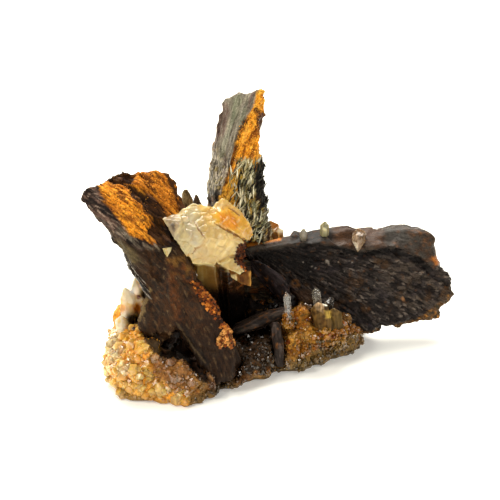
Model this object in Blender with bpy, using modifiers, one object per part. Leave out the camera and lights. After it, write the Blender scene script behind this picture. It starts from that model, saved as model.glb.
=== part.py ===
"""Siderite and quartz specimen on a quartz druse, at real size.

Run with: blender --background --python part.py, or from the text editor.

Frame: metres, +Z up. The specimen stands on the plane Z = 0, its main face
looks along -Y and +X is to the right of that face.

The crystals' outlines are drawn on one sheet that leans back by SHEET_LEAN, as
the specimen is seen from a little above. The sheet is ruled in squares, seven
to a millimetre, counted from its top left corner. seen() takes a point of the
sheet and how far behind the front of the specimen it lies, and gives the
point in space.
"""

import math

import bmesh
import bpy
from mathutils import Matrix, Vector, noise
from mathutils.bvhtree import BVHTree

# ---------------------------------------------------------------- dimensions
MM = 0.001
SQUARES_PER_MM = 7.0
SHEET_LEAN = math.radians(24.0)
SHEET_MIDDLE = 250.0        # the column of the sheet over X = 0
SHEET_GROUND = 405.0        # the row of the sheet where Y = 0 meets Z = 0
GAP = 0.00036               # seam between crystals that only touch
BLADE_VOXEL = 0.34 * MM
MATRIX_VOXEL = 0.5 * MM
FOOT_HEIGHT = 3.4 * MM      # thickness of the rock plate under the druse

LEAN_S, LEAN_C = math.sin(SHEET_LEAN), math.cos(SHEET_LEAN)


def seen(column, row, depth):
    """The point in space at a place of the sheet, depth mm behind the front."""
    across = (column - SHEET_MIDDLE) / SQUARES_PER_MM
    up = (SHEET_GROUND - row) / SQUARES_PER_MM
    return Vector((across, depth, (up - depth * LEAN_S) / LEAN_C)) * MM


# ---------------------------------------------------------------- start clean
for old in list(bpy.data.objects):
    bpy.data.objects.remove(old, do_unlink=True)
specimen = bpy.data.collections.new("siderite_specimen")
helpers = bpy.data.collections.new("helpers")
bpy.context.scene.collection.children.link(specimen)
bpy.context.scene.collection.children.link(helpers)


def material(name, colour, roughness, metallic=0.0, transmission=0.0):
    made = bpy.data.materials.new(name)
    made.use_nodes = True
    shader = made.node_tree.nodes["Principled BSDF"]
    shader.inputs["Base Color"].default_value = (*colour, 1.0)
    shader.inputs["Roughness"].default_value = roughness
    shader.inputs["Metallic"].default_value = metallic
    shader.inputs["Transmission Weight"].default_value = transmission
    made.diffuse_color = (*colour, 1.0)
    return made


SIDERITE = material("siderite_dark", (0.055, 0.040, 0.034), 0.42, 0.1)
SIDERITE_RUST = material("siderite_limonite", (0.42, 0.20, 0.04), 0.75)
QUARTZ = material("quartz_cream", (0.82, 0.70, 0.45), 0.30, 0.0, 0.2)
QUARTZ_CLEAR = material("quartz_clear", (0.80, 0.78, 0.72), 0.12, 0.0, 0.7)
QUARTZ_OLIVE = material("quartz_smoky", (0.45, 0.38, 0.20), 0.22, 0.0, 0.5)
DRUSE = material("druse", (0.52, 0.36, 0.17), 0.55)


# ---------------------------------------------------------------- mesh tools
def new_object(name, bm, mat, home=specimen):
    bmesh.ops.recalc_face_normals(bm, faces=bm.faces)
    bm.verts.index_update()
    mesh = in_fixed_order(bm, name)
    bm.free()
    made = bpy.data.objects.new(name, mesh)
    home.objects.link(made)
    made.data.materials.append(mat)
    return made


def add_hull(bm, points):
    """The convex solid round some points."""
    verts = [bm.verts.new(p) for p in points]
    hull = bmesh.ops.convex_hull(bm, input=verts)
    loose = {v for v in hull["geom_interior"] + hull["geom_unused"] if isinstance(v, bmesh.types.BMVert)}
    bmesh.ops.delete(bm, geom=[v for v in verts if v in loose], context="VERTS")


def add_slab(bm, outline, back):
    """A plate: a closed outline, which may curve in space, pushed back by a vector."""
    verts = [bm.verts.new(p) for p in outline]
    face = bm.faces.new(verts)
    grown = bmesh.ops.extrude_face_region(bm, geom=[face], use_keep_orig=True)
    moved = [g for g in grown["geom"] if isinstance(g, bmesh.types.BMVert)]
    bmesh.ops.translate(bm, verts=moved, vec=back)
    bmesh.ops.triangulate(bm, faces=[f for f in bm.faces if len(f.verts) > 4])


def add_loft(bm, sections):
    """A solid through unlike cross-sections that have the same number of points."""
    rings = [[bm.verts.new(p) for p in section] for section in sections]
    for low, high in zip(rings, rings[1:]):
        for i in range(len(low)):
            j = (i + 1) % len(low)
            bm.faces.new((low[i], low[j], high[j], high[i]))
    bm.faces.new(rings[0][::-1])
    bm.faces.new(rings[-1])
    bmesh.ops.triangulate(bm, faces=[f for f in bm.faces if len(f.verts) > 4])


def add_ball(bm, centre, radii, turn=0.0):
    spin = Matrix.Rotation(math.radians(turn), 4, "Z")
    size = Matrix.Diagonal((*(r * MM for r in radii), 1.0))
    place = Matrix.Translation(Vector(centre) * MM)
    bmesh.ops.create_icosphere(bm, subdivisions=3, radius=1.0, matrix=place @ spin @ size)


def evaluated_mesh(obj):
    bpy.context.view_layer.update()
    graph = bpy.context.evaluated_depsgraph_get()
    return bpy.data.meshes.new_from_object(obj.evaluated_get(graph))


def largest_body(bm):
    """Drops every loose chip but the largest body of the mesh."""
    bm.verts.ensure_lookup_table()
    seen_verts, bodies = set(), []
    for start in bm.verts:
        if start in seen_verts:
            continue
        body, queue = [], [start]
        seen_verts.add(start)
        while queue:
            v = queue.pop()
            body.append(v)
            for e in v.link_edges:
                other = e.other_vert(v)
                if other not in seen_verts:
                    seen_verts.add(other)
                    queue.append(other)
        bodies.append(body)
    bodies.sort(key=len)
    for body in bodies[:-1]:
        bmesh.ops.delete(bm, geom=body, context="VERTS")


def in_fixed_order(bm, name):
    """The same mesh with its points and faces sorted by place, so that every run builds the same one."""
    spots = sorted((tuple(round(c, 8) for c in v.co), v.index) for v in bm.verts)
    rank = {index: i for i, (_, index) in enumerate(spots)}
    faces = []
    for f in bm.faces:
        ring = [rank[v.index] for v in f.verts]
        start = ring.index(min(ring))
        faces.append(ring[start:] + ring[:start])
    made = bpy.data.meshes.new(name)
    made.from_pydata([spot for spot, _ in spots], [], sorted(faces))
    made.update()
    return made


def settle(obj):
    """Applies the object's modifiers and keeps its largest body."""
    mesh = evaluated_mesh(obj)
    mats = list(obj.data.materials)
    obj.modifiers.clear()
    bm = bmesh.new()
    bm.from_mesh(mesh)
    largest_body(bm)
    bmesh.ops.triangulate(bm, faces=[f for f in bm.faces if len(f.verts) > 4])
    bm.verts.index_update()
    obj.data = in_fixed_order(bm, obj.name)
    bm.free()
    for m in mats:
        obj.data.materials.append(m)
    return obj


def faults(bm):
    """How many edges do not join two faces, and how many points touch themselves."""
    open_edges = sum(1 for e in bm.edges if len(e.link_faces) != 2)
    pinched = sum(1 for v in bm.verts if not v.is_manifold)
    twice = len(bm.faces) - len({frozenset(v.index for v in f.verts) for f in bm.faces})
    return open_edges + pinched + twice


def relax(obj):
    """Smooths the few places where thinning folded the skin over or pushed it through itself."""
    for _ in range(40):
        bm = bmesh.new()
        bm.from_mesh(obj.data)
        bm.faces.ensure_lookup_table()
        tree = BVHTree.FromBMesh(bm)
        bad = set()
        for i, j in tree.overlap(tree):
            if i < j and not set(bm.faces[i].verts) & set(bm.faces[j].verts):
                bad.update(v.index for f in (bm.faces[i], bm.faces[j]) for v in f.verts)
        for e in bm.edges:
            if len(e.link_faces) == 2 and e.calc_face_angle() > 2.97:
                bad.update(v.index for f in e.link_faces for v in f.verts)
        if not bad:
            bm.free()
            return obj
        moves = {}
        for v in bm.verts:
            if v.index in bad:
                ring = [e.other_vert(v).co for e in v.link_edges]
                moves[v.index] = v.co.lerp(sum(ring, Vector()) / len(ring), 0.5)
        for v in bm.verts:
            if v.index in moves:
                v.co = moves[v.index]
        bm.to_mesh(obj.data)
        bm.free()
    return obj


def clean(obj):
    """Removes slivers and needles from a finished solid, as far as it stays closed."""
    for near in (0.05, 0.03, 0.015, 0.006, 0.002):
        bm = bmesh.new()
        bm.from_mesh(obj.data)
        bmesh.ops.triangulate(bm, faces=bm.faces)
        bmesh.ops.remove_doubles(bm, verts=bm.verts, dist=near * MM)
        bmesh.ops.dissolve_degenerate(bm, edges=bm.edges, dist=near * MM)
        bmesh.ops.triangulate(bm, faces=bm.faces)
        largest_body(bm)
        bm.verts.index_update()
        if faults(bm) == 0:
            mats = list(obj.data.materials)
            obj.data = in_fixed_order(bm, obj.name)
            for m in mats:
                obj.data.materials.append(m)
            bm.free()
            return near
        bm.free()
    return 0.0


def fuse(obj, voxel):
    """Melts the overlapping shapes of one object into one skin."""
    remesh = obj.modifiers.new("skin", "REMESH")
    remesh.mode = "VOXEL"
    remesh.voxel_size = voxel
    return settle(obj)


def weather(obj, layers, rounds=1, floor=None):
    """Softens the skin, then roughens it along its normals. A layer is (height, length, stretch axis, stretch)."""
    bm = bmesh.new()
    bm.from_mesh(obj.data)
    for _ in range(rounds):
        bmesh.ops.smooth_vert(bm, verts=bm.verts, factor=0.5, use_axis_x=True, use_axis_y=True, use_axis_z=True)
    bm.normal_update()
    moves = []
    for v in bm.verts:
        push = 0.0
        for seed, (height, length, axis, stretch) in enumerate(layers):
            p = v.co.copy()
            if axis is not None:
                p -= axis * p.dot(axis) * (1.0 - 1.0 / stretch)
            push += height * noise.noise(p / length + Vector((7.3 * seed, 3.1, 1.7)))
        moves.append(v.normal * push)
    for v, move in zip(bm.verts, moves):
        v.co += move
    bm.to_mesh(obj.data)
    bm.free()
    return obj


def scales(obj, grain, size, stretch, height):
    """Covers the skin with overlapping scales that lie along the grain, each one rising to a broken front edge."""
    bm = bmesh.new()
    bm.from_mesh(obj.data)
    bm.normal_update()
    moves = []
    for v in bm.verts:
        p = v.co - grain * v.co.dot(grain) * (1.0 - 1.0 / stretch)
        at = v.co / (1.7 * size)
        p = p / size + Vector([noise.noise(at + Vector((9.1 * i, 4.7, 2.3 * i))) for i in range(3)]) * 0.25
        middle = noise.voronoi(p)[1][0]
        rise = (p - middle).dot(grain)
        lift = math.sin(middle.dot(Vector((12.99, 78.23, 37.72)))) * 4375.85
        moves.append(v.normal * height * (1.1 * rise + 0.5 * (lift - math.floor(lift)) - 0.25))
    for v, move in zip(bm.verts, moves):
        v.co += move
    bm.to_mesh(obj.data)
    bm.free()
    return obj


def thin_out(obj, share):
    """Fewer triangles with the same shape."""
    decimate = obj.modifiers.new("thin_out", "DECIMATE")
    decimate.ratio = share
    decimate.use_collapse_triangulate = True
    return settle(obj)


def grown_copy(obj, by=GAP):
    """A copy that is larger all round, to cut a seat with."""
    mesh = obj.data.copy()
    bm = bmesh.new()
    bm.from_mesh(mesh)
    bm.normal_update()
    moves = [v.normal * by * min(v.calc_shell_factor(), 1.8) for v in bm.verts]
    for v, move in zip(bm.verts, moves):
        v.co += move
    bm.to_mesh(mesh)
    bm.free()
    made = bpy.data.objects.new(obj.name + "_seat", mesh)
    helpers.objects.link(made)
    made.hide_render = True
    made.display_type = "WIRE"
    return made


def boxes_meet(a, b):
    lo_a, hi_a = limits(a)
    lo_b, hi_b = limits(b)
    return all(lo_a[i] < hi_b[i] and lo_b[i] < hi_a[i] for i in range(3))


def limits(obj):
    points = [v.co for v in obj.data.vertices]
    return (
        Vector([min(p[i] for p in points) for i in range(3)]),
        Vector([max(p[i] for p in points) for i in range(3)]),
    )


def seat(obj, *neighbours, by=GAP, share=1.0):
    """Cuts a seat in obj for each neighbour that reaches into it. A share under 1 cuts a plainer seat."""
    for other in neighbours:
        cutter = grown_copy(other, by)
        if share < 1.0 and len(cutter.data.polygons) > 300:
            thin_out(cutter, share)
        if not boxes_meet(obj, cutter):
            bpy.data.objects.remove(cutter, do_unlink=True)
            continue
        cut = obj.modifiers.new("seat_" + other.name, "BOOLEAN")
        cut.operation = "DIFFERENCE"
        cut.solver = "MANIFOLD"
        cut.object = cutter
    return settle(obj)


def crystal_points(root, tip, radius, turn=0.0, shoulder=0.74, uneven=0.12, taper=0.94, flat=1.0):
    """A quartz prism: six sides from root to shoulder and an uneven pyramid to the tip."""
    axis = (tip - root).normalized()
    side = axis.orthogonal().normalized()
    across = axis.cross(side)
    length = (tip - root).length
    points = [tip]
    for i in range(6):
        a = math.radians(turn + 60.0 * i)
        out = (side * math.cos(a) + across * math.sin(a) * flat) * radius
        lift = shoulder + uneven * math.sin(1.9 * i + turn)
        points.append(root + out)
        points.append(root + axis * length * lift + out * taper)
    return points


def quartz(name, mat, *crystals):
    """One or more quartz crystals grown into each other."""
    first, *others = crystals
    bm = bmesh.new()
    add_hull(bm, first)
    made = new_object(name, bm, mat)
    for i, points in enumerate(others):
        bm = bmesh.new()
        add_hull(bm, points)
        other = new_object(f"{name}_twin_{i}", bm, mat, helpers)
        other.hide_render = True
        other.display_type = "WIRE"
        join = made.modifiers.new(f"twin_{i}", "BOOLEAN")
        join.operation = "UNION"
        join.solver = "MANIFOLD"
        join.object = other
    return settle(made)


# ---------------------------------------------------------------- siderite: the right-hand blade
def right_depth(column, row):
    """How far back the face of the right-hand blade lies: it runs back to the right and leans back."""
    across = (column - SHEET_MIDDLE) / SQUARES_PER_MM
    up = (SHEET_GROUND - row) / SQUARES_PER_MM
    return 19.0 + 0.20 * across + 0.20 * (up - 17.0)


RIGHT_BACK = Vector((-0.205, 0.96, -0.19)).normalized()
RIGHT_PLATE = [
    (246, 249), (262, 247), (300, 243), (345, 249), (380, 247), (412, 251), (437, 262), (445, 267),
    (453, 275), (458, 285), (455.5, 295), (447.5, 304), (441, 310), (439, 317.5), (430, 323), (408, 327.5),
    (386, 331), (366, 336), (347, 331), (325, 314), (300, 297), (278, 280), (260, 266),
]
RIGHT_LIP_LOW = [
    (246, 250), (272, 246), (300, 243), (322, 246), (342, 250), (358, 252), (376, 249), (396, 249),
    (410, 252), (424, 258), (436, 264),
]
RIGHT_LIP_TOP = [
    (440, 257), (438, 247), (434, 238.5), (425, 231), (410, 228.5), (385, 230), (360, 232.5), (344, 231.5),
    (328, 232.5), (300, 237), (270, 241.5), (244, 244.5),
]
bm = bmesh.new()
add_slab(bm, [seen(c, r, right_depth(c, r)) for c, r in RIGHT_PLATE], RIGHT_BACK * 3.3 * MM)
lip = [seen(c, r, right_depth(c, r) - 0.9) for c, r in RIGHT_LIP_LOW]
lip += [seen(c, r, right_depth(c, r) + 1.5) for c, r in RIGHT_LIP_TOP]
add_slab(bm, lip, RIGHT_BACK * 3.6 * MM)
right_blade = new_object("right_blade", bm, SIDERITE)
fuse(right_blade, BLADE_VOXEL)
right_grain = (seen(420, 300, 22) - seen(300, 240, 22)).normalized()
weather(right_blade, [(0.5 * MM, 2.4 * MM, right_grain, 3.0)], rounds=1)
scales(right_blade, right_grain, 2.3 * MM, 2.6, 0.75 * MM)
fuse(right_blade, 0.3 * MM)
relax(thin_out(right_blade, 0.044))

# ---------------------------------------------------------------- siderite: the tall blade at the back
# Each section runs left edge, middle of the grey face, ridge, right edge, right back edge, back.
TALL_SECTIONS = [
    [(221, 97, 24.2), (240, 92.5, 23.4), (259, 91, 22.6), (267, 87, 22.8), (265, 91, 25.0), (242, 97, 26.0)],
    [(216.5, 112, 24.4), (236, 111, 22.8), (250, 111, 21.4), (263.5, 112, 22.2), (264, 114, 26.0), (238, 117, 27.0)],
    [(212.5, 140, 24.8), (225, 140, 22.6), (236, 140, 20.8), (257.5, 141, 21.6), (259, 142, 26.0), (235, 144, 28.0)],
    [(209, 166, 25.2), (219, 166, 22.6), (228, 166, 20.4), (260, 167, 21.2), (262.5, 169, 26.6), (235, 170, 28.6)],
    [(207, 193, 25.4), (213, 193, 22.9), (219, 193, 20.4), (261, 195, 21.0), (263, 197, 27.0), (235, 197, 29.0)],
    [(203, 225, 25.6), (209, 225, 23.0), (214, 225, 20.4), (264, 227, 21.0), (268, 229, 27.4), (235, 230, 29.4)],
    [(201, 265, 25.4), (206, 265, 23.0), (211, 265, 20.4), (268, 266, 21.0), (273, 268, 27.8), (235, 270, 29.4)],
    [(203, 308, 25.2), (208, 308, 23.0), (214, 308, 21.0), (266, 308, 21.6), (270, 308, 27.4), (235, 308, 28.8)],
]
bm = bmesh.new()
add_loft(bm, [[seen(*p) for p in section] for section in TALL_SECTIONS])
tall_blade = new_object("tall_blade", bm, SIDERITE_RUST)
fuse(tall_blade, BLADE_VOXEL)
tall_grain = (seen(255, 100, 23) - seen(235, 240, 23)).normalized()
weather(tall_blade, [(0.6 * MM, 2.0 * MM, tall_grain, 3.0)], rounds=1)
scales(tall_blade, tall_grain, 1.7 * MM, 3.2, 0.5 * MM)
fuse(tall_blade, 0.3 * MM)
relax(thin_out(tall_blade, 0.037))

# ---------------------------------------------------------------- siderite: the crossed blades on the left
bm = bmesh.new()
# upper slab with its broken end face
add_hull(bm, [seen(*p) for p in [
    (83, 193, 8.2), (82.5, 202, 8.0), (88, 190, 8.8), (98, 184, 10.0), (112, 176, 12.0), (131, 172.5, 13.8), (156, 169.5, 15.6),
    (170, 175, 16.4), (179, 192, 17.0), (185, 208, 17.4), (105, 223, 6.8), (125, 246, 6.2), (138.5, 271, 6.0), (149, 299, 6.0),
    (124, 213, 7.4), (151, 243, 8.2), (176, 250, 9.0), (189, 264, 8.6), (198, 288, 7.4),
    (186, 240, 15.6), (196, 285, 12.6), (156, 297, 11.0), (127, 236, 12.4), (101, 205, 12.0), (162, 270, 14.5),
]])
# right-hand leg, a broad tongue that reaches the foot
add_hull(bm, [seen(*p) for p in [
    (168, 268, 6.4), (196, 280, 7.6), (214, 303, 6.6), (228, 328, 5.6), (237, 350, 4.8), (240, 371, 4.2), (233, 382, 3.8), (216, 386, 3.6),
    (206, 374, 3.8), (191, 346, 4.4), (175, 318, 5.2), (160, 292, 6.0),
    (200, 282, 11.0), (230, 330, 9.4), (240, 372, 7.0), (217, 383, 5.4), (190, 346, 8.6), (165, 290, 10.6),
]])
# left-hand leg, short and pointed
add_hull(bm, [seen(*p) for p in [
    (150, 272, 6.0), (177, 296, 5.0), (177, 322, 5.2), (168, 338, 5.4), (160, 351, 5.4), (152, 352, 5.6), (143, 336, 5.8), (139, 322, 6.2),
    (146, 301, 6.0), (177, 300, 9.4), (160, 350, 8.4), (141, 322, 9.0),
]])
# ridge where the two blades cross
add_hull(bm, [seen(*p) for p in [
    (158, 262, 7.4), (176, 262, 7.6), (182, 290, 5.6), (176, 320, 5.0), (166, 290, 5.4), (173, 292, 4.3), (174, 310, 4.4), (170, 272, 5.8),
    (166, 300, 8.0), (184, 300, 8.0),
]])
crossed_blades = new_object("crossed_blades", bm, SIDERITE)
fuse(crossed_blades, BLADE_VOXEL)
left_grain = (seen(160, 240, 9) - seen(90, 195, 9)).normalized()
weather(crossed_blades, [(0.45 * MM, 2.4 * MM, left_grain, 3.0)], rounds=1)
scales(crossed_blades, left_grain, 2.0 * MM, 3.0, 0.55 * MM)
fuse(crossed_blades, 0.3 * MM)
relax(thin_out(crossed_blades, 0.039))


# ---------------------------------------------------------------- siderite: small blades
def small_blade(name, points, voxel=0.4 * MM, share=0.13):
    bm = bmesh.new()
    add_hull(bm, [seen(*p) for p in points])
    made = new_object(name, bm, SIDERITE)
    fuse(made, voxel)
    weather(made, [(0.2 * MM, 1.0 * MM, None, 1.0)], rounds=1)
    return relax(thin_out(made, share))


under_blade = small_blade("under_blade", [
    (249, 258, 19.4), (262, 262, 18.0), (282, 276, 17.4), (290, 286, 17.4), (292, 300, 17.8), (284, 304, 18.2), (268, 288, 18.8), (252, 272, 19.4),
    (249, 258, 21.4), (284, 276, 20.6), (292, 300, 21.2), (252, 276, 22.0),
])
cavity_blade = small_blade("cavity_blade", [
    (230, 332, 12.2), (236, 336, 11.6), (262, 325, 12.4), (289, 314, 13.4), (291, 306, 14.0), (286, 305, 15.0), (262, 311, 17.2), (234, 322, 17.8),
    (232, 334, 14.4), (262, 329, 13.8), (289, 318, 14.6),
])
upright_blade = small_blade("upright_blade", [
    (270, 322, 11.4), (279, 321, 11.0), (284, 345, 9.6), (274, 349, 9.6), (284, 368, 9.6), (275, 368, 9.6),
    (271, 322, 13.4), (280, 321, 13.2), (284, 360, 12.6), (274, 362, 12.8),
])
back_blade_a = small_blade("back_blade_a", [
    (184, 191, 19.6), (188, 187.5, 19.8), (191, 191, 19.8), (195, 206, 20.0), (198, 240, 20.6), (198, 318, 21.2), (183, 318, 21.0), (184, 240, 20.2),
    (185, 192, 21.2), (190, 193, 21.4), (197, 240, 22.6), (184, 240, 22.6), (197, 318, 22.8), (184, 318, 22.8),
])
back_blade_b = small_blade("back_blade_b", [
    (195, 197, 17.4), (198, 194.5, 17.4), (200.5, 199, 17.6), (205, 212, 18.0), (207, 240, 18.4), (207, 312, 19.0), (196, 312, 19.0), (196.5, 240, 18.2),
    (196, 197, 19.0), (200, 199, 19.0), (206.5, 240, 20.0), (196.5, 240, 20.0), (206.5, 312, 20.4), (196.5, 312, 20.4),
])

# ---------------------------------------------------------------- quartz: the cream group in the middle
quartz_group = quartz(
    "quartz_group", QUARTZ,
    # the broad cream crystal
    [seen(*p) for p in [
        (180, 211, 12.6), (193, 203.5, 13.2), (212, 207, 13.2), (228, 217, 12.6), (243, 238, 12.4), (246, 250, 12.6), (238, 268, 12.6),
        (229, 266, 11.4), (214, 263.5, 9.8), (190.5, 263.5, 8.6), (184.5, 252, 8.6), (175.5, 240, 8.8), (176, 226, 9.8), (205, 236, 9.2), (222, 240, 10.0),
        (236, 262, 17.0), (200, 262, 16.0), (190, 230, 17.0), (232, 225, 18.0), (214, 212, 17.6),
    ]],
    # the grey glassy point on the left
    [seen(*p) for p in [
        (162.5, 219, 9.8), (171, 216.5, 10.8), (182, 211, 12.8), (175.5, 240, 8.4), (181, 221, 9.2), (184, 250, 9.6),
        (184, 214, 16.6), (188, 246, 15.6), (196, 226, 16.0),
    ]],
    # the orange crystal on the upper right
    [seen(*p) for p in [
        (210, 210, 14.2), (217, 202, 14.8), (223, 198, 15.2), (231, 202.5, 15.2), (241, 211, 15.0), (251, 225, 14.6), (253.5, 235, 14.4), (249, 241, 13.6),
        (236, 234, 11.6), (221, 224, 11.2), (212, 220, 12.2), (224, 206, 18.6), (248, 232, 18.2), (226, 240, 17.0),
    ]],
    # the low right crystal with its turned-up rim
    [seen(*p) for p in [
        (216, 256, 11.0), (234, 258, 10.8), (243, 266, 11.6), (245, 271.5, 10.8), (239.5, 274.5, 10.2), (226, 269.5, 9.8), (218, 264, 9.8),
        (220, 258, 15.0), (243, 266, 16.0),
    ]],
    # the prisms under the group that carry it down to the druse
    crystal_points(seen(214, 318, 18.4), seen(202, 236, 12.6), 2.55 * MM, 14.0, 0.9, 0.0, 0.95),
    crystal_points(seen(232, 322, 19.0), seen(226, 232, 14.0), 2.35 * MM, 40.0, 0.9, 0.0, 0.95),
)
quartz_tip_low = quartz(
    "quartz_tip_low", QUARTZ_OLIVE,
    [seen(*p) for p in [
        (228, 268, 12.2), (240, 273, 12.2), (251, 266, 13.4), (251, 286.5, 12.6), (240, 283, 11.6), (231, 277, 12.0), (230, 269, 15.4), (250, 268, 15.6), (242, 284, 14.2),
    ]],
)

# ---------------------------------------------------------------- quartz: small crystals
needle_front = quartz("needle_front", QUARTZ_CLEAR, crystal_points(seen(288.5, 326, 13.0), seen(286, 291, 13.2), 0.62 * MM, 20.0, 0.86, 0.03))
needle_pair = quartz(
    "needle_pair", QUARTZ_CLEAR,
    crystal_points(seen(322, 330, 16.9), seen(315.5, 287, 16.6), 0.66 * MM, 5.0, 0.88, 0.03),
    crystal_points(seen(325, 330, 17.2), seen(331, 297, 16.4), 0.78 * MM, 35.0, 0.84, 0.04),
)
olive_crystal = quartz(
    "olive_crystal", QUARTZ_OLIVE,
    crystal_points(seen(328, 342, 13.6), seen(318, 302, 13.8), 1.35 * MM, 12.0, 0.86, 0.03),
    crystal_points(seen(338, 346, 14.4), seen(334, 308, 15.0), 1.25 * MM, 44.0, 0.84, 0.05),
)
back_quartz = quartz(
    "back_quartz", QUARTZ,
    crystal_points(seen(280, 300, 27.0), seen(270, 220, 27.4), 1.35 * MM, 10.0, 0.93, 0.02),
    crystal_points(seen(284, 302, 26.4), seen(278, 227, 26.0), 0.95 * MM, 40.0, 0.95, 0.01),
)
rim_quartz = quartz("rim_quartz", QUARTZ, crystal_points(seen(360.5, 229, 24.9), seen(358.5, 252.5, 21.5), 1.05 * MM, 0.0, 0.55, 0.08))
rim_knob_a = quartz("rim_knob_a", QUARTZ_CLEAR, crystal_points(seen(325, 250, 25.4), seen(325, 221, 23.0), 0.72 * MM, 15.0, 0.86, 0.03))
rim_knob_b = quartz("rim_knob_b", QUARTZ_CLEAR, crystal_points(seen(306, 247, 24.4), seen(303, 228.5, 22.7), 0.62 * MM, 15.0, 0.80, 0.06))
chip_quartz = quartz("chip_quartz", QUARTZ, [seen(*p) for p in [(160.5, 248, 8.0), (174, 246.5, 8.4), (168, 257, 6.6), (166, 249, 6.6), (167, 252, 10.4)]])
left_quartz = quartz(
    "left_quartz", QUARTZ_CLEAR,
    crystal_points(seen(139.5, 345, 12.5), seen(137, 281, 11.6), 1.40 * MM, 8.0, 0.80, 0.05),
    crystal_points(seen(130, 348, 11.0), seen(128, 290, 10.2), 1.25 * MM, 30.0, 0.84, 0.05),
    crystal_points(seen(128, 352, 9.6), seen(121, 315, 8.6), 1.20 * MM, 50.0, 0.80, 0.05),
)

# ---------------------------------------------------------------- matrix: the rock plate and its druse
FOOTPRINT = [
    (-19.6, 10.5), (-19.0, 5.6), (-16.5, 2.2), (-12.5, 0.8), (-8.0, 0.9), (-4.2, 4.0), (-0.5, 8.4), (3.5, 10.4), (7.0, 11.8),
    (10.6, 14.0), (13.4, 17.4), (15.6, 21.2), (16.2, 25.4), (13.5, 29.5), (8.0, 32.0), (1.0, 31.8), (-6.0, 29.6), (-12.5, 26.0), (-17.5, 20.5), (-20.0, 15.5),
]
bm = bmesh.new()
add_slab(bm, [Vector((x, y, -1.0)) * MM for x, y in FOOTPRINT], Vector((0, 0, FOOT_HEIGHT + 1.0 * MM)))
DRUSE_HILLS = [
    ((-15.4, 8.0, 3.2), (5.2, 6.4, 5.9), 0), ((-16.0, 12.5, 4.5), (4.2, 4.5, 6.2), 0), ((-10.0, 4.8, 2.2), (5.2, 4.2, 3.6), 0),
    ((-4.2, 7.8, 2.0), (5.0, 3.8, 3.2), 20), ((2.0, 11.8, 1.8), (5.0, 3.4, 2.8), 20), ((2.0, 18.5, 1.6), (7.5, 7.0, 3.4), 0),
    ((8.4, 16.0, 3.6), (3.7, 3.4, 4.6), 0), ((12.4, 18.8, 2.0), (3.4, 3.6, 3.7), 0), ((6.0, 13.4, 2.2), (3.6, 2.6, 3.0), 20),
    ((-1.0, 25.0, 3.2), (7.5, 6.0, 6.4), 0), ((-11.5, 19.0, 3.0), (7.2, 7.0, 6.0), 0), ((10.0, 25.0, 3.0), (6.0, 5.0, 5.2), 0),
]
for centre, radii, turn in DRUSE_HILLS:
    add_ball(bm, centre, radii, turn)
matrix = new_object("matrix", bm, DRUSE)
fuse(matrix, MATRIX_VOXEL)
weather(matrix, [(1.5 * MM, 2.6 * MM, None, 1.0), (0.9 * MM, 1.2 * MM, None, 1.0)], rounds=1)

# ---------------------------------------------------------------- seats, so that no two crystals share space
in_order = [
    crossed_blades, right_blade, tall_blade, back_blade_a, back_blade_b, quartz_group, under_blade, quartz_tip_low, cavity_blade,
    upright_blade, back_quartz, rim_quartz, rim_knob_a, rim_knob_b, chip_quartz, left_quartz, needle_front, needle_pair, olive_crystal,
]
for i, crystal in enumerate(in_order):
    seat(crystal, *in_order[:i])
    clean(crystal)
    relax(crystal)
seat(matrix, *in_order, by=GAP + 0.12 * MM, share=0.6)
fuse(matrix, 0.36 * MM)
relax(thin_out(matrix, 0.056))
# the flat broken underside that the specimen stands on
bm = bmesh.new()
bmesh.ops.create_cube(bm, size=1.0, matrix=Matrix.Translation((0, 16 * MM, -5 * MM)) @ Matrix.Diagonal((80 * MM, 80 * MM, 10 * MM, 1.0)))
ground = new_object("ground_cut", bm, DRUSE, helpers)
ground.hide_render = True
ground.display_type = "WIRE"
flat = matrix.modifiers.new("underside", "BOOLEAN")
flat.operation = "DIFFERENCE"
flat.solver = "MANIFOLD"
flat.object = ground
settle(matrix)
clean(matrix)

# ---------------------------------------------------------------- the origin under the middle of the whole specimen
spans = [limits(obj) for obj in specimen.objects]
middle = [0.5 * (min(low[i] for low, high in spans) + max(high[i] for low, high in spans)) for i in range(2)]
for obj in specimen.objects:
    obj.data.transform(Matrix.Translation((-middle[0], -middle[1], 0.0)))

for obj in specimen.objects:
    if obj.name.startswith(("quartz", "needle", "olive", "back_quartz", "rim", "chip", "left_quartz")):
        continue
    obj.data.shade_smooth()
    obj.data.set_sharp_from_angle(angle=math.radians(50))
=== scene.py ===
"""Siderite and quartz specimen: the looks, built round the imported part.

All shapes are worked out here in millimetres, in the part's own frame, and written to the
meshes in metres. Places on the specimen are given by column and row of the 500 by 500
picture that the camera takes, so that colours and small crystals sit where they belong.
"""

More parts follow.
